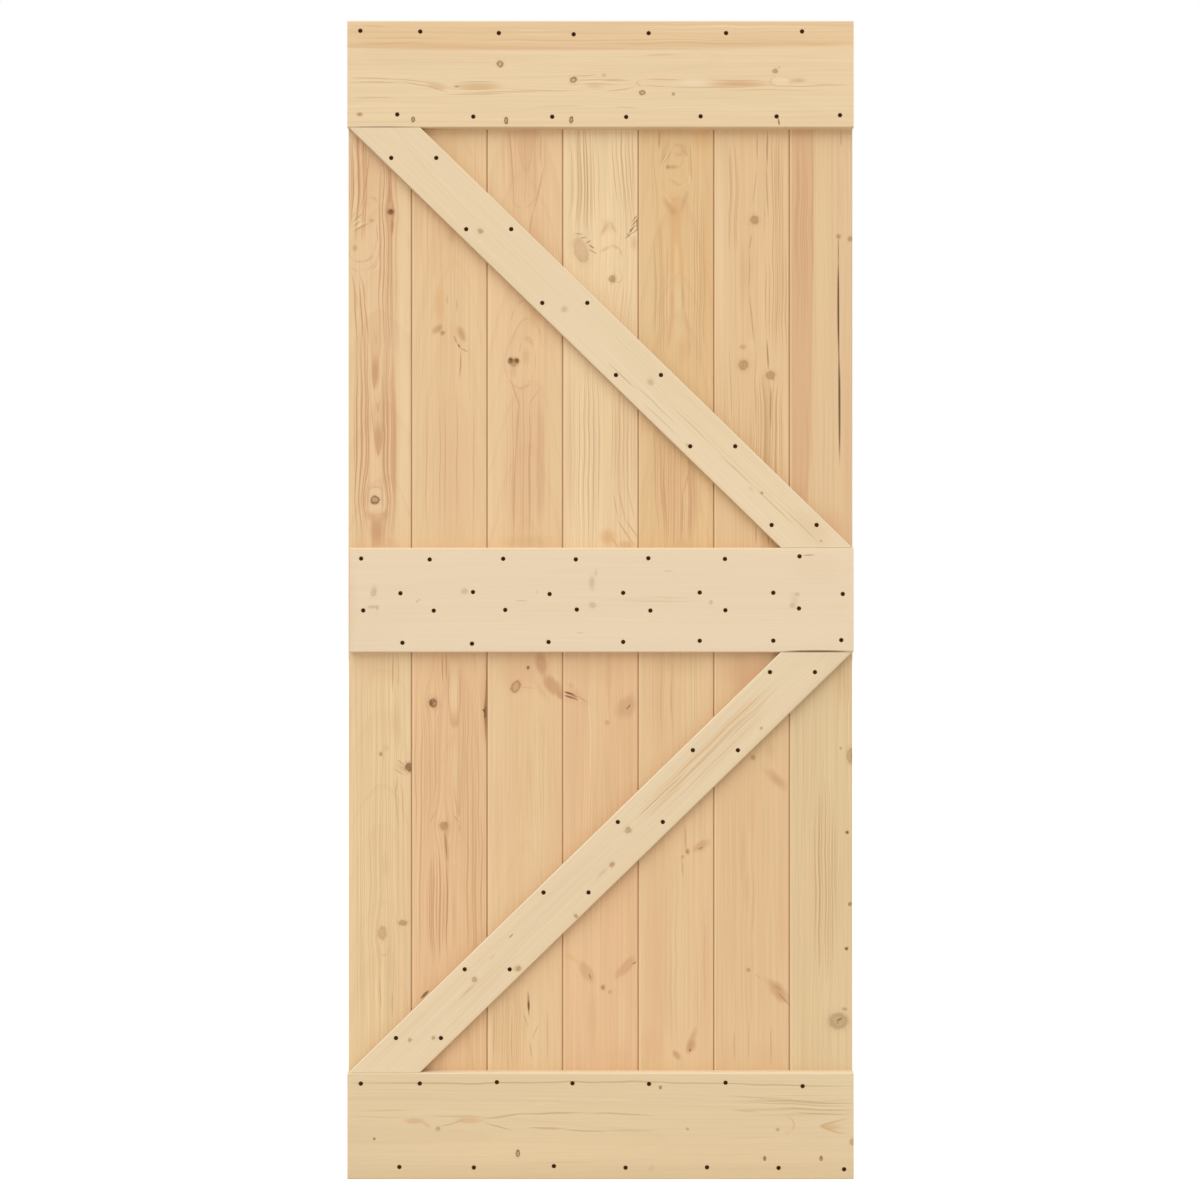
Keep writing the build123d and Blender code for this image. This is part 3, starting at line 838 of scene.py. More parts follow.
board4 = {
    "finish": "fourth plank pine", "seed": 4, "ground": (236, 207, 163), "line": (210, 162, 118),
    "lineShare": 0.3, "lowerGround": (227, 188, 144), "lowerLine": (216, 172, 128), "lowerLineShare": 0.25,
    "heart": (219, 174, 128), "heartShare": 0.25, "streakShare": 0.08, "pith": (0.09, 0.06, 0),
    "ringWidth": 0.0055, "wander": 0.014,
    "swirls": [(581, 247, 17, 36, 0.4), (641, 232, 22, 46, -0.45)],
    "knots": [
        (580.6, 249.8, 6.4, 12.6, "pale", 0, 18), (612.4, 279, 3.2, 3.4, "soft", 0.8),
        (607.3, 722.5, 1.9, 1.9, "warm", 0.5), (603, 987.5, 2, 2.2, "soft", 0.4),
        (610, 992, 1.8, 1.6, "warm", 0.4),
    ],
    "stains": [
        (606, 170, 6, 50, "yellow", 0.5, 0, 0.1), (608, 226, 6, 9, "tan", 0.4),
        (634, 243, 4, 8, "red", 0.5), (618, 262, 9, 8, "pale", 0.35),
        (606, 450, 6, 95, "yellow", 0.5, 0, 0.2), (608, 537, 9, 9, "orange", 0.7, 0, 0.1),
        (626, 545, 10, 5, "orange", 0.6, 0, 0.1), (569, 450, 6, 110, "pink", 0.4, 0, 0.1),
        # The first stain here, a darker band across the whole plank just below the middle ledge, is painted
        # shade
        (600, 668, 36, 18, "pink", 0.5, 0, 0.1), (572, 696, 10, 8, "red", 0.65, 0, 0.1),
        (571, 686, 3, 4, "rust", 0.35), (586, 703, 8, 4, "pink", 0.6),
        (594, 710, 6, 55, "yellow", 0.4, 0, 0.1), (608, 676, 4, 26, "tan", 0.6, 0, 0.1),
        (626, 740, 9, 40, "pink", 0.4), (577, 750, 11, 70, "pink", 0.4, 0, 0.1),
        (608, 780, 4, 40, "tan", 0.5), (586.5, 972, 6.5, 14, "rust", 0.4, 35, 0.45),
        (572, 958, 3, 12, "orange", 0.4, 60), (625, 967.5, 5.5, 17, "rust", 0.42, -43, 0.5),
        (592, 1020, 6, 36, "tan", 0.48, 0, 0.1), (622, 1020, 5, 40, "pale", 0.28),
        (600, 1055, 36, 14, "pink", 0.32), (626, 707, 10.5, 15, "rust", 0.42, -38, 0.4),
        (605, 228.5, 2.4, 9, "tan", 0.7, -33), (612.8, 227, 2.2, 7.5, "tan", 0.75, 28),
        (606, 248.6, 1.8, 8, "tan", 0.65, -63), (616, 247.2, 1.7, 5, "tan", 0.75, 62),
        (620.8, 252.5, 1.6, 4.5, "tan", 0.7, 15),
    ],
    "combs": [
        (584, 175, 15, 62, "brownLine", 0.37), (626, 180, 14, 60, "brownLine", 0.33),
        (610, 320, 28, 40, "brownLine", 0.26), (584, 450, 18, 105, "brownLine", 0.24),
        (626, 440, 13, 90, "brownLine", 0.24), (600, 760, 36, 90, "tan", 0.45),
        (600, 850, 34, 90, "tan", 0.35),
    ],
    "lines": {
        "brownLine": [
            (572, 180, 0.77, 52, 0.36), (577.5, 182, 0.85, 52, 0.54), (580.5, 180, 0.85, 52, 0.63),
            (589.5, 184, 0.85, 52, 0.54), (593, 180, 0.77, 50, 0.45), (598, 178, 0.77, 46, 0.36),
            (613.5, 168, 0.85, 42, 0.54, 2), (618, 172, 0.77, 46, 0.45, 2), (622.5, 178, 0.85, 50, 0.54, 2),
            (626, 180, 0.77, 46, 0.45, 2), (629.5, 175, 0.85, 45, 0.54, 2), (633, 170, 0.77, 40, 0.45, 2),
            (571, 450, 0.77, 90, 0.32), (579.5, 455, 0.85, 95, 0.44), (584.2, 455, 0.94, 100, 0.51),
            (589, 455, 0.85, 100, 0.48), (598.6, 455, 0.85, 90, 0.48), (612.3, 440, 0.85, 58, 0.48),
            (616, 440, 0.77, 50, 0.4), (619.5, 440, 0.85, 60, 0.48), (623.5, 440, 0.77, 60, 0.4),
            (627, 445, 0.85, 55, 0.48), (631, 450, 0.77, 50, 0.4), (615.5, 505, 0.85, 16, 0.48, 12),
            (625, 532, 0.94, 17, 0.58, 32), (622, 505, 0.85, 20, 0.48, 12), (632, 530, 0.85, 15, 0.54, 34),
            (630, 500, 0.77, 24, 0.4, 12), (615, 543, 0.77, 6, 0.54, 30), (583, 699, 0.85, 7, 0.75, 55),
        ],
        "brown": [(583.3, 180, 0.85, 52, 0.4), (586.3, 182, 0.85, 54, 0.45), (593.6, 455, 0.94, 100, 0.35)],
        "pale": [(590, 740, 0.77, 60, 0.62)],
    },
    "hoops": [(618, 277, 4, 5, "olive", 0.38, 0.9), (580.6, 249.8, 6.4, 12.4, "rust", 0.5, 1.3, -1, 18)],
    "cracks": [
        (634.5, 222.5, 0.68, 5, "dark", 0.75, -40), (632.5, 228, 0.68, 5, "dark", 0.75, -42),
        (634.5, 231.5, 0.6, 4, "brown", 0.75, -42), (629.5, 234.5, 0.6, 4, "brown", 0.7, -60),
        (635.5, 217.5, 0.6, 3, "brown", 0.7, -35), (636.8, 225, 0.68, 9, "dark", 0.7),
        (569.5, 693.3, 1.2, 6.5, "dark", 0.92, 72), (570, 697, 1.08, 6.5, "dark", 0.8, 72),
        (574, 695.6, 0.96, 5, "brown", 0.8, 66), (575.5, 698.8, 0.96, 3.5, "brown", 0.8, 62),
        (628.8, 706.3, 0.8, 2.8, "dark", 0.75, -35), (627, 708.3, 0.7, 1.8, "dark", 0.6, -60),
        (590, 976.5, 0.8, 3.5, "brown", 0.85, 22), (634.2, 963, 0.8, 2.8, "dark", 0.7, -55),
        (603, 987.5, 0.9, 1.1, "brown", 0.7), (631, 231, 0.6, 5, "brown", 0.7, -48),
        (633.5, 219.5, 0.6, 4, "brown", 0.7, -30), (627.5, 237, 0.6, 4, "brown", 0.6, -66),
        (578.5, 233.8, 0.8, 4.5, "brown", 0.5, 85), (583.5, 237.6, 0.8, 3.6, "brown", 0.6, -80),
        (588.6, 241.8, 0.9, 3, "brown", 0.75, -58), (591.6, 246.6, 1, 3.6, "dark", 0.6, 55),
        (592.6, 251.4, 0.8, 5.5, "brown", 0.6, 60), (630.4, 230.4, 0.7, 1.9, "dark", 0.6, 40),
        (628, 234.8, 0.7, 2.2, "brown", 0.65, 58), (634.6, 229.6, 0.7, 4, "cream", 0.7, -48),
        (633.4, 234.2, 0.7, 5, "cream", 0.7, -54),
    ],
}
dressPlank("board_4", board4)
board5 = {
    "finish": "fifth plank pine", "seed": 5, "ground": (225, 188, 138), "line": (210, 162, 116),
    "lineShare": 0.28, "lowerGround": (226, 191, 146), "lowerLine": (218, 180, 134), "lowerLineShare": 0.22,
    "heart": (219, 178, 128), "heartShare": 0.25, "streakShare": 0.07, "pith": (0, 0.12, 0.05),
    "ringWidth": 0.0065, "wander": 0.014,
    "swirls": [(673, 165, 14, 28, 0.45)],
    "knots": [
        (667.6, 167, 1.5, 1.5, "soft"), (687, 851.5, 1.7, 2.4, "soft", 0.7),
        (682, 857, 1.4, 2, "warm", 0.5),
    ],
    "stains": [
        (702, 140, 11, 14, "orange", 0.5), (678, 300, 4, 20, "yellow", 0.6),
        (678, 328, 6, 14, "yellow", 0.5), (706, 280, 8, 110, "orange", 0.35),
        (683, 350, 6, 16, "orange", 0.5), (674, 490, 9, 55, "pink", 0.55, 0, 0.1),
        (660, 450, 14, 40, "tan", 0.4), (648, 330, 8, 170, "yellow", 0.3, 0, 0.1),
        (690, 700, 7, 50, "yellow", 0.5, 0, 0.1), (655, 700, 12, 60, "pink", 0.4),
        (655, 960, 12, 110, "pink", 0.45, 0, 0.1), (680, 940, 12, 90, "yellow", 0.3),
        (650, 1045, 12, 26, "pink", 0.6, 0, 0.1), (706, 980, 6, 90, "pink", 0.4),
        # The first stain here, a darker band across the whole plank just below the middle ledge, is painted
        # shade
        (676, 664, 36, 12, "tan", 0.4), (671, 167, 4, 2.6, "rust", 0.55), (684, 148, 6, 8, "tan", 0.5),
        (665, 150, 5, 14, "tan", 0.5, -15), (675, 216, 8, 22, "orange", 0.75, 0, 0.1),
        (675, 236, 6, 14, "orange", 0.6), (667.5, 207, 3, 11, "red", 0.65, 28),
        (684, 203, 2.6, 12, "tan", 0.6, -20), (672, 262, 2.6, 30, "orange", 0.7),
        (671.5, 303, 2.6, 22, "red", 0.75), (669, 335, 2.4, 18, "red", 0.65, -6),
        (681, 262, 2.4, 28, "orange", 0.7, 3), (682.5, 296, 1.6, 18, "rust", 0.5, 2),
        (686, 322, 2.2, 16, "tan", 0.8, 14), (688.5, 345, 2.2, 12, "tan", 0.8, 4),
        (667, 268, 2, 30, "tan", 0.5, -2), (700, 846, 5.5, 11, "rust", 0.45, -55, 0.4),
        (678.5, 154.5, 5, 3.4, "tan", 0.6, 0, 0.1), (674.6, 167, 3.4, 2.4, "rust", 0.4),
        (690.4, 1046, 5, 9, "rust", 0.7, -16, 0.3), (692.6, 1036, 3.2, 10, "rust", 0.5, -20),
        (668.5, 204.5, 2.2, 9, "rust", 0.42, 32), (683.6, 201, 2, 10, "rust", 0.3, -18),
        (674, 211, 4, 5, "rust", 0.35), (676.2, 1055, 3.4, 6, "rust", 0.62, 36, 0.3),
        (674.5, 1053, 1.4, 3.4, "rust", 0.3, 30),
    ],
    "combs": [
        (660, 290, 10, 70, "redLine", 0.56), (697, 280, 10, 100, "brownLine", 0.48),
        (676, 490, 26, 60, "redLine", 0.56), (676, 700, 34, 60, "tan", 0.56),
        (680, 950, 30, 100, "tan", 0.4), (658, 300, 7, 60, "tan", 0.5), (690, 250, 6, 80, "tan", 0.4),
    ],
    "lines": {
        "redLine": [
            (667, 150, 1, 17, 0.3, -18), (655, 470, 0.9, 50, 0.65, 2), (661, 480, 1, 50, 0.72, 3),
            (664.5, 500, 1.1, 44, 0.78, 3), (681.5, 515, 1.2, 30, 0.85), (686, 482, 1, 14, 0.72, -18),
            (690.5, 510, 0.9, 34, 0.59), (671, 697, 1, 46, 0.65), (661, 700, 0.9, 44, 0.52),
            (704, 960, 0.9, 60, 0.45), (694, 190, 0.8, 50, 0.3, -3), (698, 170, 0.8, 40, 0.26),
        ],
        "brownLine": [
            (663, 158, 0.9, 14, 0.3, -14), (661, 140, 0.9, 12, 0.58), (655, 300, 0.9, 42, 0.44),
            (659, 300, 0.9, 45, 0.49), (662.5, 298, 0.9, 42, 0.44), (694, 280, 0.8, 70, 0.39),
            (699, 280, 0.8, 80, 0.39), (685.5, 838, 0.9, 14, 0.78, 5), (682, 868, 0.9, 9, 0.65),
            (656, 190, 0.8, 50, 0.34, 3), (652, 180, 0.8, 46, 0.26), (673.5, 182.2, 1.2, 5.5, 0.3, 56),
            (689.7, 163, 0.9, 22, 0.7), (668, 158, 0.9, 8, 0.65, -32), (665.3, 158, 0.9, 7, 0.55, -28),
            (683.2, 153, 1, 6.5, 0.4, 42),
        ],
        "tan": [((671, 697), 1000, 0.9, 50, 0.65)],
        "rust": [(660.2, 140, 1.1, 9, 0.6)],
        "pale": [
            (682, 184.6, 1, 5, 0.35, -40), (687.6, 179, 0.9, 7, 0.6), (666.7, 158.6, 0.8, 7, 0.6, -30),
        ],
    },
    "hoops": [
        (677, 156, 8, 13, "redLine", 0.29, 1.1), (678, 165, 12, 22, "redLine", 0.29, 1.1),
        (678, 150, 5, 6, "redLine", 0.27, 1, -1), (676, 168, 17, 34, "redLine", 0.24, 1.1, -1),
        (673, 462, 12, 20, "redLine", 0.17, 1.1, -1),
    ],
    "cracks": [
        (689.8, 1050.2, 1.2, 1.6, "dark", 0.7), (700, 848, 0.8, 3, "brown", 0.85, -62),
        (687, 851.5, 0.9, 1.2, "brown", 0.7),
    ],
}
dressPlank("board_5", board5)
board6 = {
    "finish": "sixth plank pine", "seed": 6, "ground": (228, 193, 147), "line": (212, 168, 122),
    "lineShare": 0.28, "lowerGround": (223, 188, 143), "lowerLine": (214, 174, 130), "lowerLineShare": 0.22,
    "heart": (219, 180, 132), "heartShare": 0.25, "streakShare": 0.07, "pith": (0.07, 0.05, 0),
    "ringWidth": 0.006, "wander": 0.012,
    "swirls": [(742, 365, 15, 38, 0.3)],
    "knots": [
        (754, 220, 3.9, 4, "soft", 0.8), (742.4, 365, 4.6, 4.6, "soft"), (742, 347, 2.5, 2, "warm"),
        (769.4, 375.3, 4.4, 4, "soft", 0.7), (752, 757.5, 2, 2, "soft", 0.5),
        (747.8, 970, 1.6, 1.6, "soft", 0.5),
    ],
    "stains": [
        (719, 240, 5, 120, "pale", 0.5, 0, 0.2), (743, 275, 5, 32, "tan", 0.5),
        (727, 340, 9, 240, "pale", 0.2, 0, 0.2), (750, 345, 4, 8, "pale", 0.3),
        # The last stain here, a darker band across the whole plank just below the middle ledge, is painted
        # shade
        (768, 536, 9, 14, "rust", 0.45), (765, 505, 14, 40, "pink", 0.5), (743, 672, 30, 24, "red", 0.6),
        (769, 750, 5, 9, "tan", 0.5), (776, 780, 5.5, 13, "rust", 0.55, 42, 0.1),
        (767, 773, 4, 7, "tan", 0.6, 42), (751, 815, 4, 34, "pink", 0.65), (742, 850, 3, 26, "tan", 0.6),
        (746, 890, 3.5, 22, "tan", 0.55), (782, 930, 6, 36, "pink", 0.5), (770, 983, 4, 13, "tan", 0.7, 58),
        (725, 1055, 12, 16, "pink", 0.35), (765, 1055, 18, 16, "pink", 0.45),
        (778, 992, 7.5, 17, "rust", 0.55, 42, 0.4),
    ],
    "combs": [
        (732, 200, 7, 60, "brownLine", 0.52), (774, 240, 12, 110, "brownLine", 0.6),
        (765, 440, 18, 70, "brownLine", 0.6), (730, 420, 10, 70, "tan", 0.52),
        (750, 900, 34, 130, "tan", 0.38),
    ],
    "lines": {
        "brownLine": [
            (757, 147, 0.77, 18, 0.78), (754, 185, 0.77, 22, 0.59, -5), (766, 190, 0.85, 34, 0.85),
            (774.5, 190, 0.77, 60, 0.59), (778, 170, 0.77, 40, 0.52), (765, 300, 0.77, 45, 0.59),
            (768.5, 300, 0.77, 45, 0.52), (776, 300, 0.85, 50, 0.59), (781, 300, 0.77, 60, 0.59),
            (784.5, 300, 0.77, 60, 0.52), ((731, 754), 385, 0.77, 45, 0.59), (760, 420, 0.77, 55, 0.65),
            (764.5, 430, 0.77, 60, 0.65), (775, 440, 0.77, 70, 0.59), (780, 440, 0.77, 70, 0.52),
            (752, 900, 0.77, 40, 0.39), (734, 1045, 0.77, 18, 0.65), (748, 1040, 0.77, 26, 0.52),
            (770, 1045, 0.77, 24, 0.65),
        ],
        "brown": [
            (767.5, 148, 1.02, 20, 0.65), (767, 354, 0.94, 17, 0.78, 6), (769.8, 408, 0.94, 24, 0.65),
        ],
        "red": [(750, 243, 1.1, 10, 0.95, -16)],
        "redLine": [(748.3, 270, 1.02, 24, 0.78), (750, 318, 1.1, 30, 0.78, 3)],
        "rust": [(755, 533, 0.77, 13, 0.78), (767, 537, 0.85, 10, 0.91), (770.5, 538, 0.77, 9, 0.78)],
        "tan": [(740, 870, 0.77, 20, 0.78), (757, 976, 0.77, 5, 0.91, 50)],
    },
    "hoops": [(747, 219, 3, 5, "tan", 0.45, 1)],
    "cracks": [
        (781, 997, 0.9, 8, "brown", 0.48, 38), (785, 1001, 0.8, 6, "brown", 0.44, 38),
        (777, 988, 0.8, 5, "brown", 0.4, 50),
    ],
}
dressPlank("board_6", board6)
edgeBoardRight = {
    "finish": "right edge plank pine", "seed": 7, "ground": (225, 191, 147), "line": (208, 164, 120),
    "lineShare": 0.28, "lowerGround": (221, 194, 150), "lowerLine": (200, 164, 118), "lowerLineShare": 0.25,
    "heart": (216, 180, 134), "heartShare": 0.25, "streakShare": 0.08, "pith": (-0.1, 0.05, 0),
    "ringWidth": 0.006, "wander": 0.01,
    "knots": [
        (837.5, 236.5, 2, 2, "soft", 0.6), (849, 239, 2.2, 2.4, "soft", 0.4),
        (839, 748.3, 1.2, 1.2, "grey", 0.4), (849, 756, 4, 7.5, "grey", 0.6),
        (845.6, 832.3, 1.4, 1.4, "dark", 0.6), (848.5, 904, 1.7, 1.6, "bark", 0.6),
        (845.3, 948.6, 1.5, 1.4, "dark", 0.6), (843.5, 1009, 2.2, 1.4, "grey", 0.5),
        (837.5, 1021, 9.2, 7.8, "grey", 0.6),
    ],
    "stains": [
        (800, 240, 12.2, 420, "red", 0.54, 0, 0.85), (800, 450, 11, 260, "pink", 0.32, 0, 0.3),
        (821, 260, 8, 160, "yellow", 0.5, 0, 0.2), (840, 190, 7, 60, "pink", 0.3),
        (844, 430, 7, 110, "pink", 0.45, 0, 0.1), (830, 525, 20, 20, "pink", 0.5),
        (815, 1000, 22, 40, "yellow", 0.3), (840, 680, 12, 30, "tan", 0.3), (840, 1020, 4, 4, "olive", 0.5),
    ],
    "combs": [
        (800, 240, 10, 110, "redLine", 0.54), (800, 450, 9, 70, "redLine", 0.36),
        (824, 880, 14, 105, "brownLine", 0.51), (842, 690, 10, 50, "tan", 0.39),
        (843, 860, 9, 90, "tan", 0.31),
    ],
    "lines": {
        "redLine": [
            (811, 220, 0.85, 95, 0.69), (795, 220, 0.77, 80, 0.56), (800, 230, 0.77, 90, 0.56),
            (805.5, 220, 0.77, 80, 0.62), (840.5, 138, 0.85, 10, 0.75),
        ],
        "brownLine": [
            (814, 880, 0.85, 90, 0.44), (817.8, 870, 0.94, 100, 0.55), (820.5, 880, 0.77, 90, 0.44),
            (824, 880, 0.85, 92, 0.48), (827.3, 890, 0.77, 80, 0.41), (831, 885, 0.85, 88, 0.48),
            (834.5, 880, 0.77, 75, 0.41), (838, 900, 0.77, 50, 0.3),
            ((838, 842.5, 846.5), 682, 0.68, 26, 0.33),
        ],
    },
    "cracks": [
        (838.5, 1019.5, 0.8, 3.6, "dark", 0.8, -62), (836.5, 1023, 0.7, 2, "brown", 0.7, -20),
        (845.6, 832.3, 0.9, 1, "dark", 0.6), (845.3, 948.6, 1.1, 1, "dark", 0.7),
        (849.6, 757, 0.8, 6, "brown", 0.6), (836.8, 304, 1.1, 50, "dark", 0.85),
        (838, 410, 1.1, 56, "dark", 0.85), (837.2, 250, 0.8, 14, "brown", 0.7),
    ],
}
dressPlank("edge_board_right", edgeBoardRight)

headReach = 0.012  # corners nearer than this to each other are one screw's, m


# Screw places, read from the CAD screws
def screwPlaces(node):
    heads = []
    for corner in [v.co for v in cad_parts[node].data.vertices]:
        for head in heads:
            if math.hypot(head[0].x - corner.x, head[0].z - corner.z) < headReach:
                head.append(corner)
                break
        else:
            heads.append([corner])
    middles = []
    for head in heads:
        xs, zs = [corner.x for corner in head], [corner.z for corner in head]
        middles.append(((min(xs) + max(xs)) / 2, (min(zs) + max(zs)) / 2))
    return middles


# Solids turned round each middle; a profile is radii and depths behind the ledges' face
def turned(profile, sides, middles):
    corners, faces = [], []
    for x, z in middles:
        first = len(corners)
        for radius, depth in profile:
            for step in range(sides):
                angle = math.tau * step / sides
                aside, climb = radius * math.cos(angle), radius * math.sin(angle)
                corners.append((x + aside, ledgeFace + depth, z + climb))
        for ring in range(len(profile) - 1):
            for step in range(sides):
                a, b = first + ring * sides + step, first + ring * sides + (step + 1) % sides
                faces.append((a, b, b + sides, a + sides))
        faces.append([first + step for step in range(sides)][::-1])
        last = first + (len(profile) - 1) * sides
        faces.append([last + step for step in range(sides)])
    return corners, faces


# A solid between two outlines that have the same number of corners
def prism(first, second):
    count = len(first)
    sides = [(i, (i + 1) % count, count + (i + 1) % count, count + i) for i in range(count)]
    ends = [list(range(count)), list(range(2 * count - 1, count - 1, -1))]
    return first + second, sides + ends


def meshFrom(name, corners, faces):
    mesh = bpy.data.meshes.new(name)
    mesh.from_pydata(corners, [], faces)
    form = bmesh.new()
    form.from_mesh(mesh)
    bmesh.ops.recalc_face_normals(form, faces=form.faces)
    form.to_mesh(mesh)
    form.free()
    piece = bpy.data.objects.new(name, mesh)
    scene.collection.objects.link(piece)
    return piece


# Cuts one solid by another and keeps the result as plain mesh
def cutAway(piece, cutter):
    modifier = piece.modifiers.new("cut", "BOOLEAN")
    modifier.object = cutter
    modifier.solver = "EXACT"
    done = bpy.data.meshes.new_from_object(piece.evaluated_get(bpy.context.evaluated_depsgraph_get()))
    piece.modifiers.clear()
    piece.data = done
    bpy.data.objects.remove(cutter)


def smoothed(piece, angle):
    for polygon in piece.data.polygons:
        polygon.use_smooth = True
    piece.data.set_sharp_from_angle(angle=math.radians(angle))


# Ledges and braces: rounded long front edges and turned countersinks, m
timberShape = {
    "edgeRound": 0.0025, "roundSteps": 4, "roundProfile": 0.5,
    "longShare": 0.9,  # front edges longer than this share of the longest are rounded
    "sinkRadius": 0.0046, "shankRadius": 0.00205, "sinkSides": 32,
    "overrun": 0.0005, "holeEnd": 0.001,  # how far the cutter goes past the front and the back
    "smoothBelow": 32,  # degrees
}


def dressTimber(node, kind, corners, look):
    back = [(x, 0.0, z) for x, z in corners]
    front = [(x, ledgeFace, z) for x, z in corners]
    timber = meshFrom(node.title().replace("_", ""), *prism(back, front))
    form = bmesh.new()
    form.from_mesh(timber.data)
    longest = max(edge.calc_length() for edge in form.edges)
    inFront = [edge for edge in form.edges if all(v.co.y < ledgeFace / 2 for v in edge.verts)]
    rims = [edge for edge in inFront if edge.calc_length() > longest * timberShape["longShare"]]
    bmesh.ops.bevel(
        form, geom=rims, offset=timberShape["edgeRound"], segments=timberShape["roundSteps"],
        profile=timberShape["roundProfile"], affect="EDGES",
    )
    form.to_mesh(timber.data)
    form.free()
    sink, shank, overrun = timberShape["sinkRadius"], timberShape["shankRadius"], timberShape["overrun"]
    holes = [(sink + overrun, -overrun), (shank, sink - shank), (shank, timberShape["holeEnd"] - ledgeFace)]
    cutter = meshFrom("holes", *turned(holes, timberShape["sinkSides"], screwPlaces(node + "_screws")))
    cutAway(timber, cutter)
    smoothed(timber, timberShape["smoothBelow"])
    timber.data.materials.clear()
    timber.data.materials.append(timberMaterial(node, kind, look))
    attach(timber, "root")
    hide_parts(node)
    print("timber dressed:", node, len(timber.data.polygons), "faces")


def ledgeCorners(node):
    low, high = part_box(node)
    return [(low.x, low.z), (high.x, low.z), (high.x, high.z), (low.x, high.z)]


def braceCorners(node, falling):
    low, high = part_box(node)
    end = braceEnd(node)
    corners = [(low.x, low.z), (low.x + end, low.z), (high.x, high.z), (high.x - end, high.z)]
    return [(low.x + high.x - x, z) for x, z in corners][::-1] if falling else corners


topRail = {
    "finish": "top ledge pine", "seed": 11, "ground": (234, 208, 167), "line": (218, 184, 138),
    "lineShare": 0.2, "heart": (226, 194, 150), "heartShare": 0.2, "streakShare": 0.045,
    "pith": (0.03, 0.06, 0.02), "ringWidth": 0.009, "wander": 0.02,
    "knots": [
        (500.3, 64, 3, 3, "eye", 0.7), (573.5, 80, 2.8, 3.2, "eye", 0.7),
        (642.4, 92.6, 2.4, 2.8, "eye", 0.7), (775, 71, 2.2, 2.4, "soft", 0.7),
        (604, 75, 1.5, 1.8, "faint", 0.4), (673.3, 94, 1.4, 1.4, "soft", 0.4),
        (360, 114.3, 1.6, 2.4, "soft", 0.4), (413.6, 119.6, 2.8, 1.7, "bark", 0.6),
        (506.4, 120.5, 3.2, 1.9, "bark", 0.6), (571.3, 120, 3, 1.9, "bark", 0.6),
    ],
    "stains": [
        (600, 33.5, 17, 900, "orange", 0.33, 0, 0.8), (560, 48.5, 2.6, 190, "pink", 0.75),
        (420, 46, 5, 90, "orange", 0.3), (720, 45, 5, 130, "tan", 0.4), (820, 44, 3, 40, "orange", 0.4),
        (478, 86.3, 4, 24, "tan", 0.75, 0, 0.2), (437, 86, 4, 12, "tan", 0.6, 12),
        (740, 83.5, 3.6, 34, "pink", 0.85), (738, 84.5, 2.2, 26, "red", 0.6),
        (694, 82.5, 4, 18, "cream", 0.5), (780, 81.5, 4.5, 11, "cream", 0.35, 0, 0.1),
        (798, 80.8, 2.6, 9, "red", 0.7), (595, 86, 3, 9, "tan", 0.5), (677, 128.5, 1.4, 7, "tan", 0.8),
    ],
    "combs": [(600, 33, 15, 800, "tan", 0.23), (600, 80, 42, 800, "tan", 0.1)],
    "lines": {
        "brownLine": [
            (375, 26.5, 0.7, 14, 0.41), (400, 38.5, 0.79, 52, 0.36), (390, 43.5, 0.79, 40, 0.36),
            (700, 43, 0.79, 120, 0.31), (372, 78.3, 0.79, 26, 0.52, 2), (375, 82.3, 0.79, 30, 0.52),
            (412, 80.5, 0.7, 26, 0.47, 4), (418, 84.5, 0.79, 18, 0.52, 8), (437, 89, 0.7, 12, 0.52, 20),
            (478, 82.4, 0.7, 24, 0.52), (478, 90, 0.7, 25, 0.41), (500, 92.5, 0.79, 50, 0.52, -1),
            (545, 90.5, 0.79, 44, 0.47), (478, 94.6, 0.79, 36, 0.52, -1), (600, 79.5, 0.79, 26, 0.52),
            (598, 83.4, 0.7, 22, 0.47, 3), (585, 76, 0.7, 13, 0.47, -8), (616, 80.6, 0.79, 16, 0.47),
            (700, 88, 0.79, 40, 0.41), (620, 89.5, 0.79, 18, 0.47, -6),
        ],
        "tan": [
            (600, 40, 0.7, 160, 0.62), (375, 98, 0.7, 24, 0.72), (800, 86, 0.7, 50, 0.72),
            (770, 90, 0.7, 60, 0.62), (830, 84.5, 0.7, 24, 0.72), (560, 106.5, 0.7, 30, 0.52),
            (625, 107, 0.7, 14, 0.62), (660, 55, 0.7, 22, 0.62),
        ],
        "redLine": [
            (662, 79.6, 0.79, 22, 0.52), (655, 86.5, 0.79, 14, 0.41), (735, 80.8, 0.7, 34, 0.47, 1),
            (735, 87, 0.7, 34, 0.47, -1),
        ],
        "cream": [
            (530, 30, 0.7, 26, 0.41), (540, 34, 0.7, 30, 0.41), (735, 26.5, 0.79, 120, 0.57),
            (700, 31, 0.7, 80, 0.41), (800, 30, 0.7, 60, 0.41),
        ],
    },
    "hoops": [
        (642, 82.5, 3, 5, "redLine", 0.38, 1, -1), (780, 81.5, 5, 11, "redLine", 0.26, 1),
        (573.5, 80, 5, 6, "brownLine", 0.22, 1),
    ],
    "cracks": [
        (457, 86.4, 0.9, 3, "brown", 0.7), (778.3, 121.5, 4.2, 1, "brown", 0.85, -10),
        (778.6, 123, 2.2, 0.7, "dark", 0.6), (779, 67.5, 1.4, 1.2, "olive", 0.6),
        # The last crack is painted shade, a dark line along the lower edge where the upper brace meets the
        # ledge
        (385, 127.6, 1.3, 37, "dark", 0.85),
    ],
}
dressTimber("top_rail", "ledge", ledgeCorners("top_rail"), topRail)

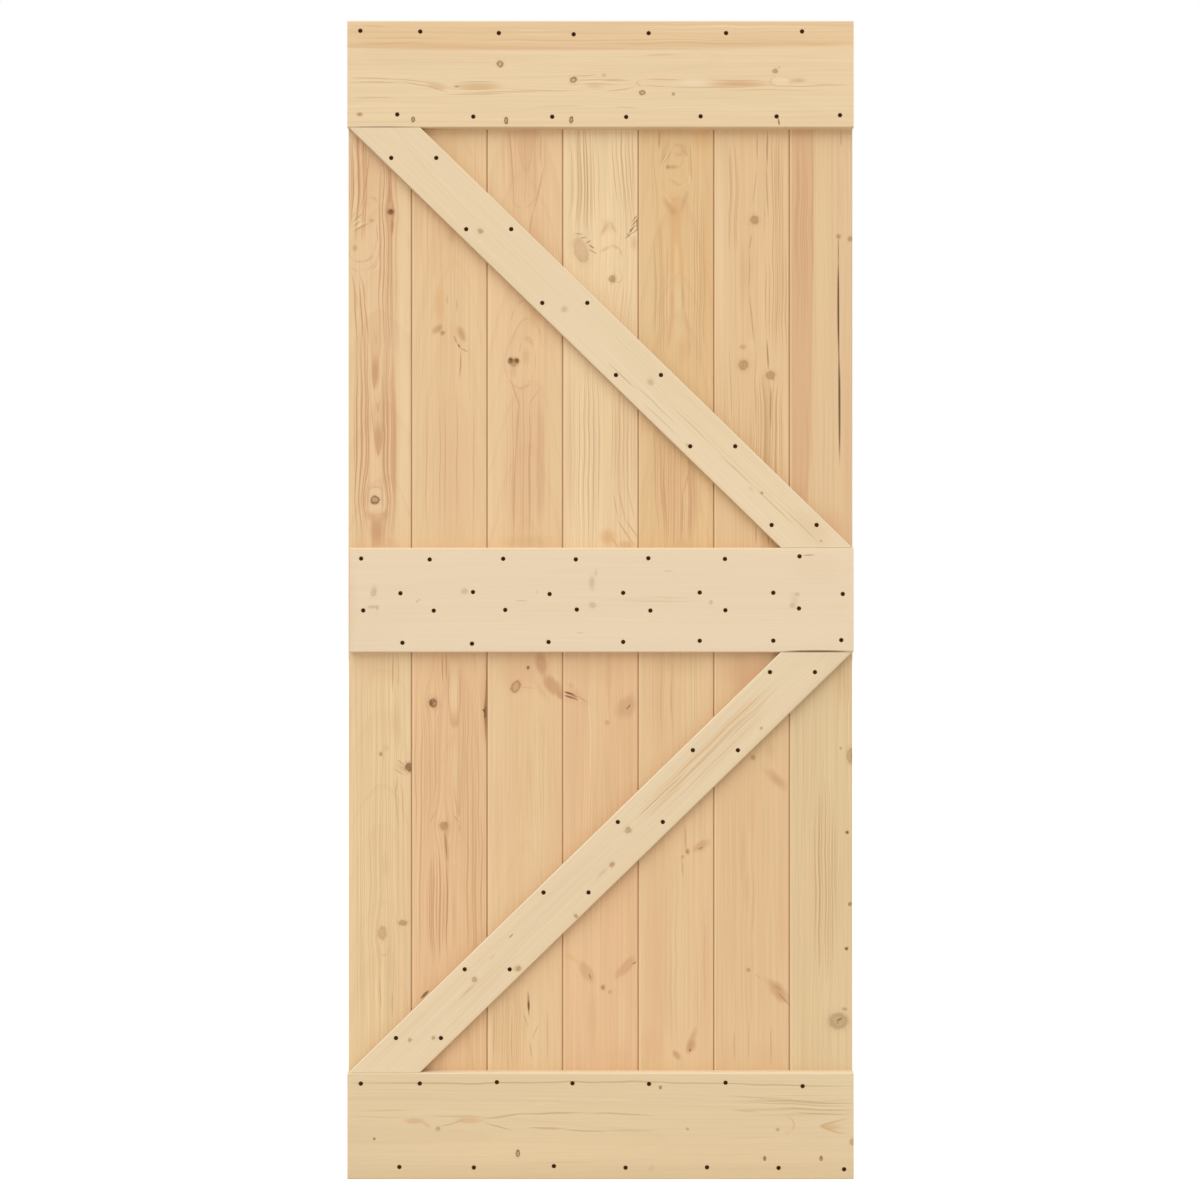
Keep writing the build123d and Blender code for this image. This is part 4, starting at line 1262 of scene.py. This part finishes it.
middleRail = {
    "finish": "middle ledge pine", "seed": 12, "ground": (231, 209, 177), "line": (224, 200, 164),
    "lineShare": 0.1, "heart": (228, 204, 168), "heartShare": 0.25, "streakShare": 0.03,
    "pith": (0.05, 0.08, 0.01), "ringWidth": 0.009, "wander": 0.02,
    "knots": [
        (375.5, 593, 3.4, 2.6, "faint", 0.3, 20), (374, 607, 1.5, 4, "faint", 0.3),
        (379, 607.6, 2.2, 1.6, "faint"), (418.3, 601.6, 1, 1, "faint"), (420.8, 599.8, 0.9, 1, "faint"),
        (465.5, 591.3, 2.4, 3.2, "faint", 0.3), (592.5, 605, 2.6, 2.8, "faint", 0.3),
        (710.2, 602.3, 1.9, 1.7, "faint", 0.3), (795.5, 594.3, 1.6, 2.6, "faint", 0.3),
        (791, 605.5, 2.4, 2.4, "faint", 0.3),
    ],
    "stains": [
        (592, 583, 9, 3.4, "grey", 0.6), (596, 573, 5, 2, "grey", 0.4), (376, 590, 6, 3, "grey", 0.4),
        (537.5, 592, 2.2, 2, "grey", 0.4), (793, 600, 7, 5, "grey", 0.35), (668, 571, 1.4, 6, "grey", 0.4),
        (640, 600, 2, 60, "tan", 0.2), (820, 570, 16, 30, "pink", 0.15), (350, 600, 60, 8, "pink", 0.2),
        (600, 551, 3, 900, "pale", 0.35, 0, 0.3),
    ],
    "lines": {
        "brown": [(807, 554.6, 0.9, 7, 0.55, -3)],
        "olive": [(522, 601, 0.7, 8, 0.5, 4)],
        "tan": [(580, 633.5, 0.7, 5, 0.6), (665, 597, 0.7, 30, 0.4), (660, 601.5, 0.7, 40, 0.45)],
    },
    # This crack is painted shade, a dark line along the lower edge where the lower brace meets the ledge
    "cracks": [(815, 651.2, 1.2, 36, "dark", 0.85)],
}
dressTimber("middle_rail", "ledge", ledgeCorners("middle_rail"), middleRail)

bottomRail = {
    "finish": "bottom ledge pine", "seed": 13, "ground": (222, 199, 160), "line": (206, 178, 134),
    "lineShare": 0.2, "heart": (220, 192, 153), "heartShare": 0.25, "streakShare": 0.024,
    "pith": (-0.02, 0.07, 0.015), "ringWidth": 0.008, "wander": 0.02,
    "knots": [
        (438.2, 1128.6, 1.8, 2, "grey", 0.7), (374.5, 1139, 1.3, 1.1, "bark", 0.6),
        (518, 1153.6, 3.4, 1.9, "bark", 0.6), (660.2, 1087.5, 1.5, 1.3, "bark", 0.6),
        (687.5, 1129, 1.3, 1.2, "grey", 0.7), (777.5, 1129.6, 1.4, 1.5, "grey", 0.7),
        (764.6, 1158.5, 2.2, 1.4, "bark", 0.6), (821, 1158.6, 2.2, 1.5, "bark", 0.6),
        (852, 1142, 3, 2.4, "grey", 0.5), (651.5, 1168, 2.2, 2.6, "faint", 0.4),
    ],
    "stains": [
        (415, 1121, 3.4, 11, "red", 0.6, 0, 0.35), (469, 1120.5, 4, 15, "red", 0.6, 0, 0.35),
        (427, 1125, 2.4, 5, "tan", 0.7, 25), (550, 1128.5, 1.6, 14, "red", 0.5),
        (831, 1127, 3.5, 9, "tan", 0.7), (540, 1150, 12, 160, "pale", 0.2),
        (600, 1174, 16, 900, "olive", 0.16),
    ],
    "combs": [(795, 1106, 12, 66, "olive", 0.4), (600, 1125, 50, 900, "tan", 0.11)],
    "lines": {
        "olive": [
            (440, 1083.3, 0.9, 100, 0.72), (560, 1082, 0.9, 110, 0.65, -0.6),
            (670, 1082.6, 0.9, 100, 0.65, 0.8), (790, 1085, 0.9, 80, 0.65, 1.4),
            (460, 1116.6, 0.9, 30, 0.44), (505, 1116, 1, 26, 0.65, -6), (552, 1113.2, 1, 36, 0.72, -2),
            (620, 1114.2, 1, 40, 0.6, 2), (452, 1124, 0.9, 14, 0.55, -16), (498, 1126.5, 1, 17, 0.6, 16),
            (545, 1128.4, 1, 22, 0.55), (585, 1130.4, 1, 26, 0.6, 3), (630, 1131, 0.9, 30, 0.44),
            (760, 1097.5, 0.8, 40, 0.44, 4), (800, 1101.6, 0.9, 54, 0.65, 3), (806, 1105, 0.8, 48, 0.55, 2),
            (810, 1109.5, 0.9, 44, 0.6, 2), (820, 1114, 0.9, 32, 0.65, 2),
        ],
        "tan": [
            (385, 1110, 0.8, 30, 0.65, -1), (380, 1117, 0.8, 26, 0.44), (745, 1111, 0.8, 14, 0.65, 6),
            (560, 1163, 0.8, 40, 0.55), (750, 1138, 0.7, 26, 0.44),
        ],
        "pale": [(610, 1100, 0.7, 26, 0.44), (540, 1098, 0.7, 24, 0.55), (545, 1104, 0.7, 20, 0.55)],
    },
    "hoops": [(784, 1125, 8, 9, "tan", 0.56, 1.6, 1)],
    "arches": [(820.5, 1126.5, 10, 33, 1, 1.5, "brownLine", 0.65, 0.1)],
    "cracks": [
        # The first two cracks are painted shade, a thin line along the upper edge where the lower brace
        # meets the ledge
        (361, 1072.7, 0.8, 11, "brown", 0.7), (395, 1073, 0.7, 22, "brownLine", 0.6),
        (764.6, 1158.5, 1.4, 0.8, "dark", 0.6), (821, 1158.4, 1.3, 0.9, "dark", 0.5),
    ],
}
dressTimber("bottom_rail", "ledge", ledgeCorners("bottom_rail"), bottomRail)

upperBrace = {
    "finish": "upper brace pine", "seed": 14, "ground": (232, 209, 172), "line": (224, 198, 156),
    "lineShare": 0.2, "heart": (228, 203, 164), "heartShare": 0.25, "streakShare": 0.03,
    "pith": (0.04, 0.06, 0.01), "ringWidth": 0.008, "wander": 0.015,
    "knots": [
        (481, 231, 2.2, 2.6, "grey", 0.5), (564.3, 309.4, 2.4, 2.6, "faint", 0.5),
        (650.3, 382.6, 2.4, 2.8, "faint", 0.5), (687, 445.3, 1.4, 2, "faint", 0.5),
        (760.6, 493, 1.2, 1.3, "soft", 0.5), (819.4, 541, 0.9, 1.2, "grey", 0.5),
    ],
    "stains": [
        (650, 381, 5, 5, "grey", 0.3), (566, 308, 4, 4, "grey", 0.3), (750, 489, 2, 4, "grey", 0.3),
        (810, 530, 14, 30, "tan", 0.25),
    ],
    "combs": [(700, 420, 20, 160, "tan", 0.2), (480, 230, 24, 120, "tan", 0.12)],
    "lines": {
        "grey": [
            (622, 376, 0.8, 22, 0.7), (655, 405, 0.8, 34, 0.55), (735, 470, 0.8, 24, 0.6),
            (775, 508, 0.8, 28, 0.6), (800, 526, 0.8, 30, 0.5), (660, 420, 0.8, 26, 0.45),
            (690, 425, 0.8, 30, 0.45), (420, 160, 0.8, 30, 0.3),
        ],
    },
}
dressTimber("upper_brace", "fallingBrace", braceCorners("upper_brace", True), upperBrace)

lowerBrace = {
    "finish": "lower brace pine", "seed": 15, "ground": (228, 205, 169), "line": (214, 188, 148),
    "lineShare": 0.2, "heart": (226, 200, 160), "heartShare": 0.25, "streakShare": 0.05,
    "pith": (0.01, 0.05, 0.01), "ringWidth": 0.008, "wander": 0.015,
    "knots": [
        (628, 830, 2.8, 3, "grey", 0.6), (612, 864.6, 2, 2.6, "soft", 0.5),
        (760, 728.2, 1.2, 1.6, "grey", 0.5), (821, 683.8, 1.3, 1.8, "soft", 0.5),
        (475, 979.5, 2.2, 2.6, "grey", 0.6), (518.8, 968.6, 2.2, 2.6, "soft", 0.5),
        (410.5, 1040, 1.6, 2, "grey", 0.5), (434, 1038, 1.6, 2, "grey", 0.5),
        (576, 916, 2.2, 1.4, "soft", 0.5),
    ],
    "stains": [
        (602, 873, 2, 9, "grey", 0.5), (469, 990, 2, 11, "grey", 0.5), (516, 968, 3, 5, "grey", 0.5),
        (493, 957, 1.5, 5, "grey", 0.4),
    ],
    "combs": [(705, 755, 15, 100, "tan", 0.5), (530, 930, 24, 120, "tan", 0.12)],
    "lines": {
        "tan": [
            (735, 718, 0.9, 50, 0.8), (720, 740, 0.9, 55, 0.8), (700, 752, 0.9, 60, 0.75),
            (690, 772, 0.9, 45, 0.75), (660, 795, 0.9, 34, 0.75), (665, 800, 0.9, 30, 0.6),
        ],
        "olive": [(745, 722, 0.8, 30, 0.5), (672, 785, 0.8, 26, 0.5), (650, 805, 0.8, 20, 0.4)],
    },
    "cracks": [(511.5, 936, 0.7, 3.4, "dark", 0.7)],
}
dressTimber("lower_brace", "risingBrace", braceCorners("lower_brace", False), lowerBrace)

# Screws: black countersunk heads with a cross recess, m
screwShape = {
    "sides": 24, "sink": 0.0006, "headRadius": 0.0039, "rimWidth": 0.0003, "rimHeight": 0.0002,
    "shankRadius": 0.0019, "shankDepth": 0.025, "pointRadius": 0.0002, "pointDepth": 0.031,
    "recessReach": 0.0024, "recessWidth": 0.0006, "recessDepth": 0.0016,
    "recessTaper": 0.62, "overrun": 0.0005,
    "turnStep": 2.4,  # each screw stops at its own turn, radians
    "smoothBelow": 30,  # degrees
}
screwCoat = {
    "coat": (62, 38, 14), "wornCoat": (88, 58, 26),
    "wear": ((900.0, 900.0, 900.0), 3.0), "wornSpan": (0.5, 0.75),
    "roughSpan": (0.3, 0.7), "roughness": (0.65, 0.5), "specular": 0.05,
    "bumpStrength": 0.2, "bumpDistance": 0.0002,
}


def screwMaterial():
    material, tree, shader = newMaterial("black screw coat")
    spot = tree.nodes.new("ShaderNodeTexCoord").outputs["Object"]
    wear = grainNoise(spot, *screwCoat["wear"])
    worn = ramp(wear, *screwCoat["wornSpan"])
    colour = blend(worn, tone(*screwCoat["coat"]), tone(*screwCoat["wornCoat"]))
    feed(shader.inputs["Base Color"], colour)
    rough = ramp(wear, *screwCoat["roughSpan"], *screwCoat["roughness"], False)
    feed(shader.inputs["Roughness"], rough)
    shader.inputs["Specular IOR Level"].default_value = screwCoat["specular"]
    bumpFrom(shader, wear, screwCoat["bumpStrength"], screwCoat["bumpDistance"])
    return material


def oneScrew():
    head, shank, sink = screwShape["headRadius"], screwShape["shankRadius"], screwShape["sink"]
    profile = [
        (head - screwShape["rimWidth"], sink), (head, sink + screwShape["rimHeight"]),
        (shank, sink + head - shank), (shank, screwShape["shankDepth"]),
        (screwShape["pointRadius"], screwShape["pointDepth"]),
    ]
    screw = meshFrom("screw", *turned(profile, screwShape["sides"], [(0.0, 0.0)]))
    reach, width = screwShape["recessReach"], screwShape["recessWidth"]
    arm = [(reach, -width), (reach, width), (width, width)]
    cross = []
    for quarter in range(4):
        cross += arm
        arm = [(-z, x) for x, z in arm]
    mouth = [(x, ledgeFace + sink - screwShape["overrun"], z) for x, z in cross]
    bedDepth, taper = ledgeFace + sink + screwShape["recessDepth"], screwShape["recessTaper"]
    bed = [(x * taper, bedDepth, z * taper) for x, z in cross]
    cutAway(screw, meshFrom("cross", *prism(mouth, bed)))
    mesh = screw.data
    bpy.data.objects.remove(screw)
    return [v.co.copy() for v in mesh.vertices], [list(p.vertices) for p in mesh.polygons]


screwCorners, screwFaces = oneScrew()
blackCoat = screwMaterial()
for timberName in ("top_rail", "middle_rail", "bottom_rail", "upper_brace", "lower_brace"):
    corners, faces = [], []
    for count, (x, z) in enumerate(screwPlaces(timberName + "_screws")):
        cosine, sine = math.cos(count * screwShape["turnStep"]), math.sin(count * screwShape["turnStep"])
        first = len(corners)
        for corner in screwCorners:
            turnX, turnZ = corner.x * cosine - corner.z * sine, corner.x * sine + corner.z * cosine
            corners.append((x + turnX, corner.y, z + turnZ))
        faces += [[first + index for index in face] for face in screwFaces]
    place, sort = timberName.split("_")
    screws = meshFrom(place + sort.title() + "Screws", corners, faces)
    smoothed(screws, screwShape["smoothBelow"])
    screws.data.materials.append(blackCoat)
    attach(screws, "root")
    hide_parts(timberName + "_screws")
print("screws driven")

# Studio: pale floor, white room, one broad lamp above and in front
studio = {
    "floorTone": (246, 246, 246), "floorRoughness": 0.9, "floorLift": 0.42, "floorSize": 60.0,
    "roomStrength": 0.545,
    "lampHeight": 46.0, "lampAside": -15.0, "lampSpread": 60.0,  # degrees
    "lampPower": 1.49,  # W per square metre
}


# 1 where the camera looks straight, by a reflection or through something clear, else 0
def seenRays(tree):
    path = tree.nodes.new("ShaderNodeLightPath").outputs
    seen = maths("MAXIMUM", path["Is Camera Ray"], path["Is Glossy Ray"])
    return maths("MAXIMUM", seen, path["Is Transmission Ray"])


world = bpy.data.worlds.new("white room")
scene.world = world
world.use_nodes = True
tree = world.node_tree
room = tree.nodes["Background"]
room.inputs["Color"].default_value = white
feed(room.inputs["Strength"], ramp(seenRays(tree), 0.0, 1.0, studio["roomStrength"], 1.0, False))

half = studio["floorSize"] / 2
floorCorners = [(-half, -half, 0), (half, -half, 0), (half, half, 0), (-half, half, 0)]
floor = meshFrom("floor", floorCorners, [(0, 1, 2, 3)])
paper, tree, shader = newMaterial("pale floor")
shader.inputs["Base Color"].default_value = tone(*studio["floorTone"])
shader.inputs["Roughness"].default_value = studio["floorRoughness"]
shader.inputs["Emission Color"].default_value = white
feed(shader.inputs["Emission Strength"], times(seenRays(tree), studio["floorLift"]))
floor.data.materials.append(paper)

lamp = bpy.data.lights.new("broad lamp", "SUN")
lamp.energy = studio["lampPower"]
lamp.angle = math.radians(studio["lampSpread"])
lampStand = bpy.data.objects.new("broad lamp", lamp)
scene.collection.objects.link(lampStand)
lampStand.rotation_euler = (math.radians(90 - studio["lampHeight"]), 0, math.radians(studio["lampAside"]))

camera = bpy.data.cameras.new("camera")
camera.sensor_width = viewOfLeaf["sensor"]
camera.lens = viewOfLeaf["sensor"] * viewOfLeaf["distance"] / (viewOfLeaf["imageSize"] * pixel)
cameraStand = bpy.data.objects.new("camera", camera)
scene.collection.objects.link(cameraStand)
aside = (viewOfLeaf["imageSize"] / 2 - viewOfLeaf["middle"][0]) * pixel
cameraStand.location = (aside, ledgeFace - viewOfLeaf["distance"], midHeight)
cameraStand.rotation_euler = (math.radians(90), 0, 0)
scene.camera = cameraStand
scene.view_settings.view_transform = "Standard"
print("studio ready")
